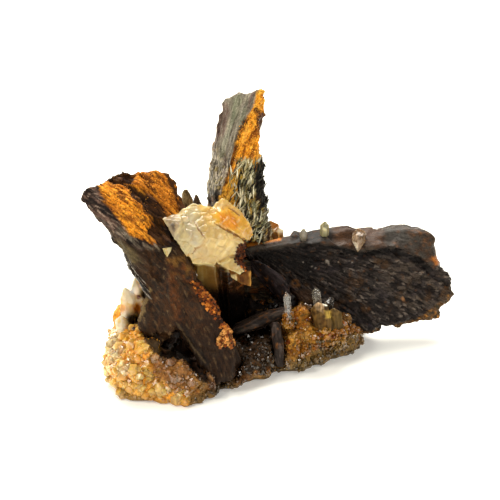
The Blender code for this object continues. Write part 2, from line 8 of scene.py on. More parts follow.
import itertools
import math
import bmesh
import bpy
import numpy as np
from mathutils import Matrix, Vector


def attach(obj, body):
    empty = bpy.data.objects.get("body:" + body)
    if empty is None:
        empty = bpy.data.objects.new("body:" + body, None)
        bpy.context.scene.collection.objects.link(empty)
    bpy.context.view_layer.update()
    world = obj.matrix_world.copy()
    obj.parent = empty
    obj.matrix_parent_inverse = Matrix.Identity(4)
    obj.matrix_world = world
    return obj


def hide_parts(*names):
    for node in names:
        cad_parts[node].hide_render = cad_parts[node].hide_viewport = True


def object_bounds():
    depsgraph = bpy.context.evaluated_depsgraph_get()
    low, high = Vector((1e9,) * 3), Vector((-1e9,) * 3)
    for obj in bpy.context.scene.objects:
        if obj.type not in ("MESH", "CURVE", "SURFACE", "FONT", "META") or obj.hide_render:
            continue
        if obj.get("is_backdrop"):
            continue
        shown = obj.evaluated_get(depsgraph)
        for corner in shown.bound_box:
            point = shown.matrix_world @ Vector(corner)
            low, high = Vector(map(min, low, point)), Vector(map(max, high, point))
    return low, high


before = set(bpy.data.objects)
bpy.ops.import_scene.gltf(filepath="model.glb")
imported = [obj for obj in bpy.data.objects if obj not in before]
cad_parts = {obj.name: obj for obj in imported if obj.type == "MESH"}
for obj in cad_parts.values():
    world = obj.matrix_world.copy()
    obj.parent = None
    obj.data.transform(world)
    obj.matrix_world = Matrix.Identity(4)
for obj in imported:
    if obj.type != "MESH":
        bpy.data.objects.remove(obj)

cad_low, cad_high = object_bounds()
cad_low, cad_high = [float(c) for c in cad_low], [float(c) for c in cad_high]

MM = 0.001
LEAN = math.radians(24.0)
SHIFT = np.array([2.777, 16.311, 0.0])      # the sheet's own origin, seen from the part's origin
DISTANCE = 1100.0                           # camera to the middle of the specimen
PX = 7.0                                    # pixels to a millimetre at that distance
FORWARD = np.array([0.0, math.cos(LEAN), -math.sin(LEAN)])
UPWARD = np.array([0.0, math.sin(LEAN), math.cos(LEAN)])


def seen(column, row, depth):
    """The point in space at a place of the picture, depth mm behind the front."""
    across = (column - 250.0) / PX
    up = (405.0 - row) / PX
    return np.array([across, depth, (up - depth * math.sin(LEAN)) / math.cos(LEAN)]) - SHIFT


CAMERA = seen(250, 250, 15.0) - FORWARD * DISTANCE


def on_picture(points):
    """Column and row of the picture for each point."""
    r = points - CAMERA
    away = r @ FORWARD
    return 250.0 + PX * DISTANCE * r[:, 0] / away, 250.0 - PX * DISTANCE * (r @ UPWARD) / away


def rgb(r, g, b):
    """Screen values, 0 to 255, as linear light."""
    c = np.array([r, g, b]) / 255.0
    return np.where(c <= 0.04045, c / 12.92, ((c + 0.055) / 1.055) ** 2.4)


# ---------------------------------------------------------------- noise
MASK = np.uint64(0xFFFFFFFF)


def hashed(x, y, z, seed):
    h = (x.astype(np.uint64) * np.uint64(73856093)) ^ (y.astype(np.uint64) * np.uint64(19349663)) ^ (z.astype(np.uint64) * np.uint64(83492791))
    h = (h ^ np.uint64(seed * 2654435761 % 4294967296)) & MASK
    h ^= h >> np.uint64(15)
    h = (h * np.uint64(2246822519)) & MASK
    h ^= h >> np.uint64(13)
    h = (h * np.uint64(3266489917)) & MASK
    return h ^ (h >> np.uint64(16))


CORNERS = np.array([(1, 1, 0), (-1, 1, 0), (1, -1, 0), (-1, -1, 0), (1, 0, 1), (-1, 0, 1), (1, 0, -1), (-1, 0, -1), (0, 1, 1), (0, -1, 1), (0, 1, -1), (0, -1, -1)], float)


def swirl(q, seed=0):
    """Smooth noise, about -1 to 1."""
    q = np.asarray(q, float)
    cell = np.floor(q).astype(np.int64)
    f = q - cell
    w = f * f * f * (f * (f * 6 - 15) + 10)
    total = np.zeros(len(q))
    for dx, dy, dz in itertools.product((0, 1), repeat=3):
        h = hashed(cell[:, 0] + dx, cell[:, 1] + dy, cell[:, 2] + dz, seed)
        g = CORNERS[(h % np.uint64(12)).astype(int)]
        dot = g[:, 0] * (f[:, 0] - dx) + g[:, 1] * (f[:, 1] - dy) + g[:, 2] * (f[:, 2] - dz)
        share = (w[:, 0] if dx else 1 - w[:, 0]) * (w[:, 1] if dy else 1 - w[:, 1]) * (w[:, 2] if dz else 1 - w[:, 2])
        total += share * dot
    return total * 1.25


def cloud(q, octaves=3, seed=0):
    """Noise with finer noise on it, about -1 to 1."""
    q = np.asarray(q, float)
    total, size = np.zeros(len(q)), 1.0
    for i in range(octaves):
        total += swirl(q * 2.03 ** i, seed + i) * size
        size *= 0.5
    return total / 1.6


def cells(q, seed=0):
    """Nearest and second distance to scattered points, that point, and a number of its own."""
    q = np.asarray(q, float)
    base = np.floor(q).astype(np.int64)
    near, second = np.full(len(q), 9e9), np.full(len(q), 9e9)
    middle, own = np.zeros_like(q), np.zeros(len(q))
    for step in itertools.product((-1, 0, 1), repeat=3):
        c = base + np.array(step)
        h = hashed(c[:, 0], c[:, 1], c[:, 2], seed)
        spot = c + np.stack([(h >> np.uint64(s) & np.uint64(1023)).astype(float) / 1024.0 for s in (0, 10, 20)], axis=1)
        d = ((q - spot) ** 2).sum(axis=1)
        closer = d < near
        second = np.where(closer, near, np.minimum(second, d))
        near = np.where(closer, d, near)
        middle[closer] = spot[closer]
        own[closer] = (h[closer] >> np.uint64(5) & np.uint64(4095)).astype(float) / 4096.0
    return np.sqrt(near), np.sqrt(second), middle, own


def ramp(x, low, high):
    t = np.clip((x - low) / (high - low), 0.0, 1.0)
    return t * t * (3 - 2 * t)


def region(outline, at, soft=1.5):
    """1 inside an outline of the picture, 0 outside, with a soft edge some pixels wide."""
    x, y = at
    nearest, inside = np.full(len(x), 9e9), np.zeros(len(x), bool)
    for (x0, y0), (x1, y1) in zip(outline, outline[1:] + outline[:1]):
        ex, ey = x1 - x0, y1 - y0
        t = np.clip(((x - x0) * ex + (y - y0) * ey) / (ex * ex + ey * ey + 1e-9), 0, 1)
        nearest = np.minimum(nearest, (x - x0 - t * ex) ** 2 + (y - y0 - t * ey) ** 2)
        crosses = (y0 > y) != (y1 > y)
        inside ^= crosses & (x < ex * (y - y0) / (ey if abs(ey) > 1e-9 else 1e-9) + x0)
    depth = np.where(inside, 1.0, -1.0) * np.sqrt(nearest)
    return ramp(depth, -soft, soft)


def spot(at, column, row, radius, soft=0.5):
    return 1.0 - ramp(np.hypot(at[0] - column, at[1] - row), radius * (1 - soft), radius * (1 + soft))


def paint(colour, share, new):
    share = np.clip(share, 0, 1)[:, None]
    return colour * (1 - share) + np.asarray(new) * share


# ---------------------------------------------------------------- mesh helpers
def skin(names, voxel, rounds=2):
    """The shape of one or more CAD nodes as a fine skin: points in mm and four-sided faces."""
    bm = bmesh.new()
    for name in names:
        bm.from_mesh(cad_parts[name].data)
    bmesh.ops.remove_doubles(bm, verts=bm.verts, dist=0.000002)
    bmesh.ops.scale(bm, vec=(1000, 1000, 1000), verts=bm.verts)
    mesh = bpy.data.meshes.new("raw")
    bm.to_mesh(mesh)
    bm.free()
    raw = bpy.data.objects.new("raw", mesh)
    bpy.context.scene.collection.objects.link(raw)
    remesh = raw.modifiers.new("skin", "REMESH")
    remesh.mode = "VOXEL"
    remesh.voxel_size = voxel
    bpy.context.view_layer.update()
    done = raw.evaluated_get(bpy.context.evaluated_depsgraph_get()).to_mesh()
    points = np.empty(len(done.vertices) * 3)
    done.vertices.foreach_get("co", points)
    faces = np.empty(len(done.loops), np.int64)
    done.loops.foreach_get("vertex_index", faces)
    raw.evaluated_get(bpy.context.evaluated_depsgraph_get()).to_mesh_clear()
    bpy.data.objects.remove(raw)
    points, faces = points.reshape(-1, 3), faces.reshape(-1, 4)
    return soften(points, faces, rounds), faces


def soften(points, faces, rounds, factor=0.5):
    i, j = faces.ravel(), np.roll(faces, -1, axis=1).ravel()
    n = len(points)
    count = np.bincount(i, minlength=n) + np.bincount(j, minlength=n)
    for _ in range(rounds):
        ring = np.stack([np.bincount(i, points[j, k], minlength=n) + np.bincount(j, points[i, k], minlength=n) for k in range(3)], axis=1)
        points = points + factor * (ring / count[:, None] - points)
    return points


def normals(points, faces):
    cross = np.cross(points[faces[:, 2]] - points[faces[:, 0]], points[faces[:, -1]] - points[faces[:, 1]])
    n = len(points)
    total = np.zeros((n, 3))
    for corner in range(faces.shape[1]):
        for k in range(3):
            total[:, k] += np.bincount(faces[:, corner], cross[:, k], minlength=n)
    return total / (np.linalg.norm(total, axis=1)[:, None] + 1e-12)


def hollows(points, faces, rounds=12):
    """How far each point lies under the softened skin, in mm: above 0 in a hollow, below 0 on a crest."""
    smooth = soften(points, faces, rounds, 0.5)
    return ((smooth - points) * normals(smooth, faces)).sum(axis=1)


def nudge(points, *moves):
    """Moves parts of a skin a little in the plane of the picture: from, to and reach, in pixels."""
    column, row = on_picture(points)
    shift = np.zeros((len(points), 2))
    for c, r, to_c, to_r, reach in moves:
        shift += np.exp(-((column - c) ** 2 + (row - r) ** 2) / reach ** 2)[:, None] * np.array([to_c - c, to_r - r])
    return points + (shift[:, :1] * np.array([1.0, 0.0, 0.0]) - shift[:, 1:] * UPWARD) / PX


def lighten(made, most):
    """Takes triangles away where a skin is nearly flat, until at most this many are left."""
    full = made.data
    less = made.modifiers.new("less", "DECIMATE")
    less.ratio = most / (2 * len(full.polygons))
    less.use_collapse_triangulate = True
    bpy.context.view_layer.update()
    fewer = bpy.data.meshes.new_from_object(made.evaluated_get(bpy.context.evaluated_depsgraph_get()))
    made.modifiers.clear()
    made.data = fewer
    bpy.data.meshes.remove(full)
    fewer.name = made.name


def add_piece(name, points, faces, material, stands_for=(), tint=None, grain=None, gloss=None, flat=False):
    points = np.array(points, float)
    points[:, 2] = np.maximum(points[:, 2], 0.0)
    mesh = bpy.data.meshes.new(name)
    mesh.from_pydata((points * MM).tolist(), [], faces.tolist() if isinstance(faces, np.ndarray) else faces)
    mesh.update()
    if tint is not None:
        colour = np.ones((len(points), 4))
        colour[:, :3] = np.clip(tint, 0.0, 1.0)
        mesh.color_attributes.new("tint", "FLOAT_COLOR", "POINT").data.foreach_set("color", colour.ravel())
    if gloss is not None:
        mesh.attributes.new("gloss", "FLOAT", "POINT").data.foreach_set("value", np.clip(gloss, 0, 1))
    if grain is not None:
        mesh.attributes.new("grain", "FLOAT_VECTOR", "POINT").data.foreach_set("vector", np.asarray(grain, float).ravel())
    for p in mesh.polygons:
        p.use_smooth = not flat
    made = bpy.data.objects.new(name, mesh)
    bpy.context.scene.collection.objects.link(made)
    mesh.materials.append(material)
    if stands_for:
        lighten(made, min(115000, int(1.1 * len(faces))))
    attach(made, "root")
    if stands_for:
        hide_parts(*stands_for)
    return made


# ---------------------------------------------------------------- materials
def new_material(name):
    made = bpy.data.materials.new(name)
    made.use_nodes = True
    nodes, links = made.node_tree.nodes, made.node_tree.links
    return made, nodes, links, nodes["Principled BSDF"]


def noise_node(nodes, links, vector, scale, detail=3.0, roughness=0.6):
    node = nodes.new("ShaderNodeTexNoise")
    node.inputs["Scale"].default_value = scale
    node.inputs["Detail"].default_value = detail
    node.inputs["Roughness"].default_value = roughness
    links.new(vector, node.inputs["Vector"])
    return node.outputs["Fac"]


def scaled(nodes, links, vector, size):
    node = nodes.new("ShaderNodeMapping")
    node.inputs["Scale"].default_value = size
    links.new(vector, node.inputs["Vector"])
    return node.outputs["Vector"]


def attribute(nodes, name):
    node = nodes.new("ShaderNodeAttribute")
    node.attribute_name = name
    return node


def math_node(nodes, links, operation, a, b, clamp=False):
    node = nodes.new("ShaderNodeMath")
    node.operation = operation
    node.use_clamp = clamp
    for socket, value in zip(node.inputs, (a, b)):
        if isinstance(value, (int, float)):
            socket.default_value = value
        else:
            links.new(value, socket)
    return node.outputs[0]


def varied(nodes, links, colour, fac, low, high):
    """A colour made darker and lighter by a number from 0 to 1."""
    span = nodes.new("ShaderNodeMapRange")
    span.inputs["From Min"].default_value = 0.3
    span.inputs["From Max"].default_value = 0.7
    span.inputs["To Min"].default_value = low
    span.inputs["To Max"].default_value = high
    links.new(fac, span.inputs["Value"])
    scale = nodes.new("ShaderNodeVectorMath")
    scale.operation = "SCALE"
    links.new(colour, scale.inputs[0])
    links.new(span.outputs["Result"], scale.inputs["Scale"])
    return scale.outputs["Vector"]


def bump_node(nodes, links, height, distance, strength=1.0, under=None):
    node = nodes.new("ShaderNodeBump")
    node.inputs["Distance"].default_value = distance
    node.inputs["Strength"].default_value = strength
    links.new(height, node.inputs["Height"])
    if under is not None:
        links.new(under, node.inputs["Normal"])
    return node.outputs["Normal"]


def siderite_material(name, specular=0.5, streak=0.00006, grit=0.00004):
    made, nodes, links, shader = new_material(name)
    place = nodes.new("ShaderNodeTexCoord").outputs["Object"]
    grain = attribute(nodes, "grain").outputs["Vector"]
    tint = attribute(nodes, "tint").outputs["Color"]
    gloss = attribute(nodes, "gloss").outputs["Fac"]
    lines = noise_node(nodes, links, scaled(nodes, links, grain, (1.3, 6.5, 4.0)), 1.0, 5.0, 0.7)
    specks = noise_node(nodes, links, place, 5200.0, 3.0, 0.7)
    colour = varied(nodes, links, tint, lines, 0.45, 1.6)
    colour = varied(nodes, links, colour, specks, 0.6, 1.4)
    links.new(colour, shader.inputs["Base Color"])
    dull = math_node(nodes, links, "MULTIPLY_ADD", gloss, -0.42)
    dull.node.inputs[2].default_value = 0.74
    rough = math_node(nodes, links, "ADD", dull, math_node(nodes, links, "MULTIPLY", math_node(nodes, links, "SUBTRACT", specks, 0.5), 0.5), clamp=True)
    links.new(rough, shader.inputs["Roughness"])
    shader.inputs["Specular IOR Level"].default_value = specular
    fine = bump_node(nodes, links, specks, grit)
    links.new(bump_node(nodes, links, lines, streak, 1.0, fine), shader.inputs["Normal"])
    return made


def quartz_material(name, transmission, roughness, subsurface=0.0, variation=(0.88, 1.10), bump=0.00002, specular=0.5):
    made, nodes, links, shader = new_material(name)
    place = nodes.new("ShaderNodeTexCoord").outputs["Object"]
    veil = noise_node(nodes, links, place, 900.0, 4.0, 0.6)
    fine = noise_node(nodes, links, place, 1500.0, 2.0, 0.5)
    links.new(varied(nodes, links, attribute(nodes, "tint").outputs["Color"], veil, *variation), shader.inputs["Base Color"])
    rough = math_node(nodes, links, "MULTIPLY_ADD", fine, 0.16)
    rough.node.inputs[2].default_value = roughness - 0.06
    links.new(rough, shader.inputs["Roughness"])
    shader.inputs["IOR"].default_value = 1.544
    shader.inputs["Specular IOR Level"].default_value = specular
    shader.inputs["Transmission Weight"].default_value = transmission
    if subsurface:
        shader.inputs["Subsurface Weight"].default_value = subsurface
        shader.inputs["Subsurface Radius"].default_value = (0.0016, 0.0011, 0.0006)
        shader.inputs["Subsurface Scale"].default_value = 1.0
    links.new(bump_node(nodes, links, fine, bump), shader.inputs["Normal"])
    return made


def rock_material(name):
    made, nodes, links, shader = new_material(name)
    place = nodes.new("ShaderNodeTexCoord").outputs["Object"]
    coarse = noise_node(nodes, links, place, 1500.0, 4.0, 0.65)
    fine = noise_node(nodes, links, place, 5600.0, 3.0, 0.7)
    colour = varied(nodes, links, attribute(nodes, "tint").outputs["Color"], coarse, 0.6, 1.45)
    links.new(varied(nodes, links, colour, fine, 0.7, 1.35), shader.inputs["Base Color"])
    rough = math_node(nodes, links, "MULTIPLY_ADD", fine, 0.5)
    rough.node.inputs[2].default_value = 0.42
    shader.inputs["Specular IOR Level"].default_value = 0.2
    links.new(rough, shader.inputs["Roughness"])
    links.new(bump_node(nodes, links, fine, 0.00008, 1.0, bump_node(nodes, links, coarse, 0.0001)), shader.inputs["Normal"])
    return made


SIDERITE = siderite_material("siderite", 0.12)
CREAM = quartz_material("quartz_cream", 0.42, 0.12, 0.3, (0.78, 1.14))
MILKY = quartz_material("quartz_milky", 0.62, 0.10, 0.15)
VEILED = quartz_material("quartz_veiled", 0.4, 0.08, 0.2, (0.82, 1.15))
CLEAR = quartz_material("quartz_clear", 0.93, 0.07, 0.0, (0.93, 1.03), 0.000008)
BROWN = quartz_material("quartz_smoky", 0.35, 0.26, 0.2, (0.6, 1.35), 0.00006, 0.25)
HONEY = quartz_material("quartz_honey", 0.08, 0.5, 0.2, (0.6, 1.4), 0.00004, 0.03)
SUGAR = quartz_material("quartz_druse", 0.5, 0.12, 0.0, (0.85, 1.12))
GLOW = quartz_material("quartz_golden", 0.32, 0.1, 0.5, (0.7, 1.25))
ROCK = rock_material("rock")

# ---------------------------------------------------------------- siderite: ways the grain runs
def fan(at, depth, pole, radius=18.0):
    """Grain that spreads from a pole: along it, across it, and into the specimen, in mm."""
    x, y = (at[0] - pole[0]) / PX, (at[1] - pole[1]) / PX
    return np.stack([np.hypot(x, y), np.arctan2(y, x) * radius, depth], axis=1)


def arc(at, depth, centre, radius=40.0):
    """Grain that bends round a far centre."""
    x, y = (at[0] - centre[0]) / PX, (at[1] - centre[1]) / PX
    return np.stack([np.arctan2(y, x) * radius, np.hypot(x, y), depth], axis=1)


def shingles(q, size, seed):
    """Overlapping scales along the grain: how high each point stands, 0 to 1, and the scale's own number."""
    size = np.array(size, float)
    p = q / size + np.stack([swirl(q / (size * 1.6), seed + 11), swirl(q / (size * 1.6), seed + 12), swirl(q / (size * 1.6), seed + 13)], axis=1) * 0.3
    near, second, middle, own = cells(p, seed)
    off = p - middle
    turn = own * 37.0 % 1.0 - 0.5
    rise = np.clip(0.5 + off[:, 0] * 0.8 + off[:, 1] * turn * 1.2, 0, 1)
    edge = ramp(second - near, 0.0, 0.22)
    return (0.62 * rise + 0.38 * own) * (0.35 + 0.65 * edge), own


RIGHT_POLE, TALL_POLE, LEFT_CENTRE = (232, 233), (190, 292), (-64, 448)

# ---------------------------------------------------------------- siderite: the right-hand blade
points, faces = skin(["right_blade"], 0.105, 3)
at = on_picture(points)
grain = fan(at, points[:, 1], RIGHT_POLE)
wobble = cloud(points / 1.4, 3, 5)
points = nudge(points, (374, 232, 374, 228.5, 4), (447, 264, 442, 266.5, 6))
# the lip is rounded, the face under it is not
rounded = region([(296, 226), (330, 216), (380, 214), (420, 214), (452, 232), (448, 258), (430, 262), (412, 247), (388, 240), (368, 244), (345, 239), (310, 240)], at, 3.0)
points = points + (soften(points, faces, 60) - points) * rounded[:, None]
lip = region(
    [(243, 236), (262, 232), (300, 222), (330, 214), (352, 214), (380, 214), (412, 212), (440, 220), (456, 240), (450, 262), (434, 269),
     (420, 257), (400, 248.5), (383, 246), (372, 251), (356, 253), (345, 247), (320, 245), (300, 246), (270, 250), (250, 252)],
    (at[0] + wobble * 2, at[1] + wobble * 2), 1.6)
big, big_own = shingles(grain, (3.4, 0.85, 1.2), 3)
small, small_own = shingles(grain, (1.25, 0.36, 0.6), 8)
tiny, tiny_own = shingles(grain, (0.6, 0.2, 0.35), 9)
lines = swirl(grain * np.array([0.5, 4.2, 1.6]), 21)
rough = 1.0 - 0.85 * lip
lift = ((big - 0.5) * 0.40 + (small - 0.5) * 0.26 + (tiny - 0.5) * 0.12 + lines * 0.05) * rough + cloud(points / 0.9, 3, 30) * 0.07 * lip
lift -= 0.30 * region([(300, 244.5), (322, 243), (345, 247.5), (360, 253), (374, 251), (386, 247.5), (400, 250), (418, 258), (430, 267), (424, 269), (408, 260), (392, 252.5), (378, 256),
                       (360, 258), (342, 252), (320, 248), (300, 249)], at, 1.6)
points = points + normals(points, faces) * lift[:, None]
deep = hollows(points, faces, 8)
at = on_picture(points)
shade = cloud(points / 2.6, 3, 40)
tint = np.tile(rgb(27, 21, 19), (len(points), 1))
tint = paint(tint, ramp(big_own, 0.35, 1.0) * 0.6, rgb(46, 38, 34))
tint = paint(tint, ramp(small_own, 0.6, 1.0) * 0.42, rgb(78, 70, 64))
tint = paint(tint, ramp(cloud(grain * np.array([0.45, 1.9, 1.2]), 3, 72), 0.08, 0.45) * 0.55, rgb(70, 62, 60))
tint = paint(tint, ramp(-cloud(grain * np.array([0.4, 1.6, 1.2]), 3, 73), 0.1, 0.45) * 0.5, rgb(14, 10, 8))
tint = paint(tint, ramp(tiny_own, 0.86, 1.0) * 0.6, rgb(118, 106, 96))
tint = paint(tint, ramp(small_own, 0.4, 0.05) * 0.75, rgb(16, 11, 8))
tint = paint(tint, ramp(shade, 0.2, 0.6) * 0.6, rgb(66, 44, 22))
tint = paint(tint, ramp(-shade, 0.2, 0.6) * 0.5, rgb(48, 42, 46))
# painted shade: the hollows between the scales are painted nearly black
tint = paint(tint, ramp(deep, 0.015, 0.08) * 0.9, rgb(7, 4, 3))
# painted shadow and sheen: the left end lies in shadow and is painted nearly black, the right end is painted a little
# greyer as a sheen
tint = paint(tint, region([(244, 250), (300, 247), (322, 249), (318, 268), (306, 280), (262, 262)], at, 7) * 0.8, rgb(9, 6, 5))
tint = paint(tint, region([(380, 262), (430, 262), (454, 284), (446, 304), (400, 312)], at, 10) * ramp(small_own, 0.3, 0.9) * 0.3, rgb(82, 68, 54))
rust = ramp(cloud(points / 0.7, 3, 50), 0.40, 0.62)
tint = paint(tint, rust * 0.35 * (1 - lip), rgb(104, 64, 26))
# the lip: bluish grey, with rusty brown stretches
streaks = swirl(fan(at, points[:, 1], (300, 330)) * np.array([1.0, 0.5, 0.6]), 63)
face = paint(np.tile(rgb(54, 48, 42), (len(points), 1)), ramp(cloud(points / 1.6, 3, 60), -0.1, 0.4), rgb(58, 40, 26))
face = paint(face, ramp(streaks, 0.1, 0.6) * 0.6, rgb(46, 32, 24))
face = paint(face, region([(331, 224), (381, 223), (384, 243), (352, 249), (333, 241)], at, 5) * 0.7, rgb(70, 44, 24))
face = paint(face, region([(290, 233), (332, 227), (333, 241), (292, 246)], at, 4) * 0.85, rgb(30, 29, 28))
face = paint(face, region([(386, 225), (414, 224), (416, 243), (388, 243)], at, 5) * 0.65, rgb(64, 62, 58))
face = paint(face, region([(340, 224), (354, 225), (352, 232), (338, 231)], at, 3) * 0.6, rgb(44, 26, 14))
face = paint(face, ramp(cloud(points / 0.7, 3, 61), 0.25, 0.6) * 0.4, rgb(112, 68, 32))
face = paint(face, ramp(cloud(points / 0.6, 3, 62), 0.3, 0.5) * 0.6, rgb(36, 26, 22))
face = paint(face, region([(405, 229), (424, 229), (438, 244), (440, 264), (430, 262), (420, 244)], at, 4) * ramp(cloud(points / 0.9, 3, 64), -0.1, 0.4) * 0.7, rgb(92, 58, 30))
tint = paint(tint, lip, face)
tint = paint(tint, region([(433, 256), (437, 256), (438.5, 264), (435, 266)], (at[0] + wobble * 4, at[1] + wobble * 4), 1.6) * 0.75, rgb(170, 100, 36))
tint = paint(tint, region([(246, 243), (262, 239), (281, 237), (281, 240.5), (262, 243.5), (247, 247)], at, 1.0), rgb(190, 116, 38))
# the shadowed line under the lip
tint = paint(tint, region([(300, 244.5), (322, 243), (345, 247.5), (360, 253), (374, 251), (386, 247.5), (400, 250), (418, 258), (430, 267), (424, 269), (408, 260), (392, 252.5), (378, 256),
                           (360, 256), (342, 251), (320, 248), (300, 248)], (at[0] + wobble * 2, at[1] + wobble * 2), 1.6) * ramp(cloud(points / 1.2, 3, 77), -0.55, 0.0) * 0.85, rgb(6, 4, 3))
# limonite along the lower edge
edge = region([(350, 333), (366, 331), (385, 327), (402, 323), (418, 318), (430, 310), (441, 303), (449, 296), (454, 297), (449, 309), (441, 320),
               (424, 328), (396, 335), (366, 343), (350, 338)], (at[0] + wobble * 3, at[1] + wobble * 3), 1.6)
limonite = paint(np.tile(rgb(96, 66, 34), (len(points), 1)), ramp(cloud(points / 0.5, 3, 70), 0.1, 0.4), rgb(176, 118, 46))
limonite = paint(limonite, ramp(cloud(points / 0.7, 3, 71), 0.0, 0.35), rgb(58, 54, 38))
tint = paint(tint, edge * 0.68, limonite)
tint = paint(tint, (spot((at[0] + wobble * 3, at[1] + wobble * 3), 295, 283, 4.2, 0.4) - spot(at, 295, 283, 1.8, 0.3)) * 0.55, rgb(116, 74, 28))
tint = paint(tint, region([(288, 290), (309, 290), (312, 303), (296, 304)], at, 2.5) * 0.5, rgb(76, 52, 34))
tint = paint(tint, spot((at[0] + wobble * 3, at[1] + wobble * 3), 402, 298, 1.6) * 0.8, rgb(140, 98, 62))
for column, row, radius in ((312.6, 267, 1.0), (316, 268.6, 1.1), (327.4, 261.7, 1.8), (311, 272.3, 0.8), (303, 262, 0.8), (344, 271, 0.7), (352, 262, 0.8), (338, 262, 0.9)):
    tint = paint(tint, spot((at[0] + wobble * 1.5, at[1] + wobble * 1.5), column, row, radius * 0.8) * 0.7, rgb(150, 140, 128))
gloss = 0.40 + 0.30 * small_own + 0.42 * lip - 0.35 * region([(286, 226), (336, 221), (337, 245), (288, 249)], at, 5) - 0.5 * edge - 0.5 * rust - 0.4 * ramp(deep, 0.015, 0.08)
add_piece("right_blade_skin", points, faces, SIDERITE, ["right_blade"], tint, grain, gloss)

# ---------------------------------------------------------------- siderite: the tall blade
def streaky(at, grain, way, seed, reach=6.0, fine=(0.3, 2.6, 0.8)):
    """Places in the picture, moved to and fro along the grain, so that borders fray along it."""
    jog = (swirl(grain * np.array(fine), seed) + 0.5 * swirl(grain * np.array(fine) * 2.1, seed + 1)) * reach
    return at[0] + way[0] * jog, at[1] + way[1] * jog


points, faces = skin(["tall_blade"], 0.10, 3)
points = nudge(points, (217, 148, 213, 148, 10), (227, 102, 223.5, 102, 6), (216, 118, 219, 118, 6), (213, 160, 210, 160, 6), (245, 91, 245, 94.2, 8), (211, 190, 207, 191, 13), (264, 127, 261.5, 128, 7), (261.5, 115, 264.5, 115.5, 4))
at = on_picture(points)
grain = fan(at, points[:, 1], TALL_POLE, 24.0)
away = np.stack([at[0] - TALL_POLE[0], at[1] - TALL_POLE[1]])
away /= np.hypot(*away)
where = streaky(at, grain, away, 105, 5.0)
wobble = cloud(points / 0.9, 3, 106)
crumbly = (at[0] + wobble * 3, at[1] + wobble * 4)
front = ramp(normals(points, faces) @ -FORWARD, -0.25, 0.1)
grey = region([(216, 92), (240, 86), (250, 88), (257, 94), (255, 105), (248.4, 114.7), (240.6, 125.6), (237.5, 132), (234, 147), (229.7, 166), (225, 179), (219.5, 194),
               (196, 198), (200, 171), (204, 150), (206, 133), (210, 116)], (at[0] + wobble, at[1] + wobble), 1.2)
orange = region([(256, 94), (266, 82), (270, 101), (264, 113), (257, 114), (260, 128), (263, 150), (263, 165), (257, 173), (247, 161), (238, 162), (231, 174), (229, 191),
                 (220, 196), (225, 179), (230, 166), (234, 147), (237.5, 132), (240.6, 125.6), (248.4, 114.7), (254, 106)], (at[0] + wobble, at[1] + wobble), 1.2) * front
yellow = region([(218, 198), (226, 180), (237, 174), (240, 194), (240, 208), (230, 208)], crumbly, 2.0) * front
# painted shade: the blade's right edge, turned from the light, is painted nearly black
shaded_edge = region([(257, 163), (264, 157), (270, 172), (270, 203), (263, 208), (256, 202), (254, 180)], where, 1.6)
shaded_edge = np.clip(shaded_edge, 0, 1) * front
green = region([(236, 158), (249, 158), (255, 170), (261, 172), (263, 194), (265, 245), (235, 240), (240, 210), (237.5, 194), (236, 178)], where, 1.6) * front * (1 - shaded_edge)
big, big_own = shingles(grain, (3.6, 0.8, 1.0), 103)
small, small_own = shingles(grain, (1.5, 0.34, 0.6), 108)
tiny, tiny_own = shingles(grain, (0.8, 0.2, 0.4), 109)
lines = swirl(grain * np.array([0.2, 4.8, 1.6]), 121)
calm = np.clip(grey, 0, 1)
crumbs = cloud(points / 0.32, 3, 150)
lift = (big - 0.5) * (0.40 - 0.26 * calm) + (small - 0.5) * (0.26 - 0.13 * calm) + lines * 0.055 + crumbs * 0.09 * np.clip(orange + yellow, 0, 1)
lift += (small - 0.5) * 0.34 * np.clip(green + shaded_edge, 0, 1) + (tiny - 0.5) * (0.08 + 0.10 * ramp(at[1], 150, 190) * calm)
# the orange side stands back behind the edge of the grey face
lift -= 0.30 * region([(246, 117), (239, 126.5), (236, 133), (232.5, 147), (228.5, 166), (224, 180), (218, 195), (224, 196), (229, 180), (233.5, 166), (237.5, 148), (241, 134), (245, 127), (251, 117)], at, 1.0)
n_front = normals(points, faces) @ -FORWARD
points = points + normals(points, faces) * lift[:, None]
deep = hollows(points, faces, 8)
at = on_picture(points)
tint = np.tile(rgb(70, 58, 46), (len(points), 1))
tint = paint(tint, ramp(big_own, 0.35, 1.0) * 0.8, rgb(104, 90, 70))
tint = paint(tint, ramp(small_own, 0.6, 1.0) * 0.6, rgb(136, 124, 98))
tint = paint(tint, ramp(cloud(points / 2.2, 3, 140), 0.1, 0.45) * 0.7, rgb(146, 84, 26))
bands = swirl(grain * np.array([0.08, 1.3, 0.5]), 141)
lower = ramp(at[1] + wobble * 8, 138, 172)
sharp = 0.62 + 0.38 * lower
face = paint(np.tile(rgb(124, 116, 100), (len(points), 1)), ramp(bands, -0.1, 0.4) * 0.8, rgb(112, 113, 92))
face = paint(face, ramp(swirl(grain * np.array([0.1, 1.1, 0.5]), 142), 0.0, 0.5) * 0.9, rgb(88, 68, 62))
face = paint(face, region([(220, 104), (226, 100), (229, 112), (226, 132), (218, 140), (217, 122)], (at[0] + wobble * 2, at[1] + wobble * 2), 2.0) * 0.8, rgb(92, 68, 60))
face = paint(face, region([(233, 98), (240, 92), (242, 100), (237, 118), (231, 140), (228, 140), (232, 118)], (at[0] + wobble * 2, at[1] + wobble * 2), 1.6) * ramp(-at[1], -128, -112) * 0.4, rgb(110, 122, 92))
face = paint(face, ramp(swirl(grain * np.array([0.12, 3.0, 1.0]), 144), 0.15, 0.7) * 0.8 * sharp, rgb(170, 160, 138))
face = paint(face, ramp(swirl(grain * np.array([0.12, 3.4, 1.0]), 145), 0.1, 0.6) * 0.9 * sharp, rgb(50, 36, 30))
face = paint(face, ramp(lines, 0.2, 0.8) * 0.5 * sharp, rgb(184, 176, 160))
face = paint(face, ramp(-lines, 0.25, 0.9) * 0.7 * sharp, rgb(44, 32, 28))
face = paint(face, lower * ramp(small_own, 0.55, 0.1) * 0.95, rgb(26, 19, 15))
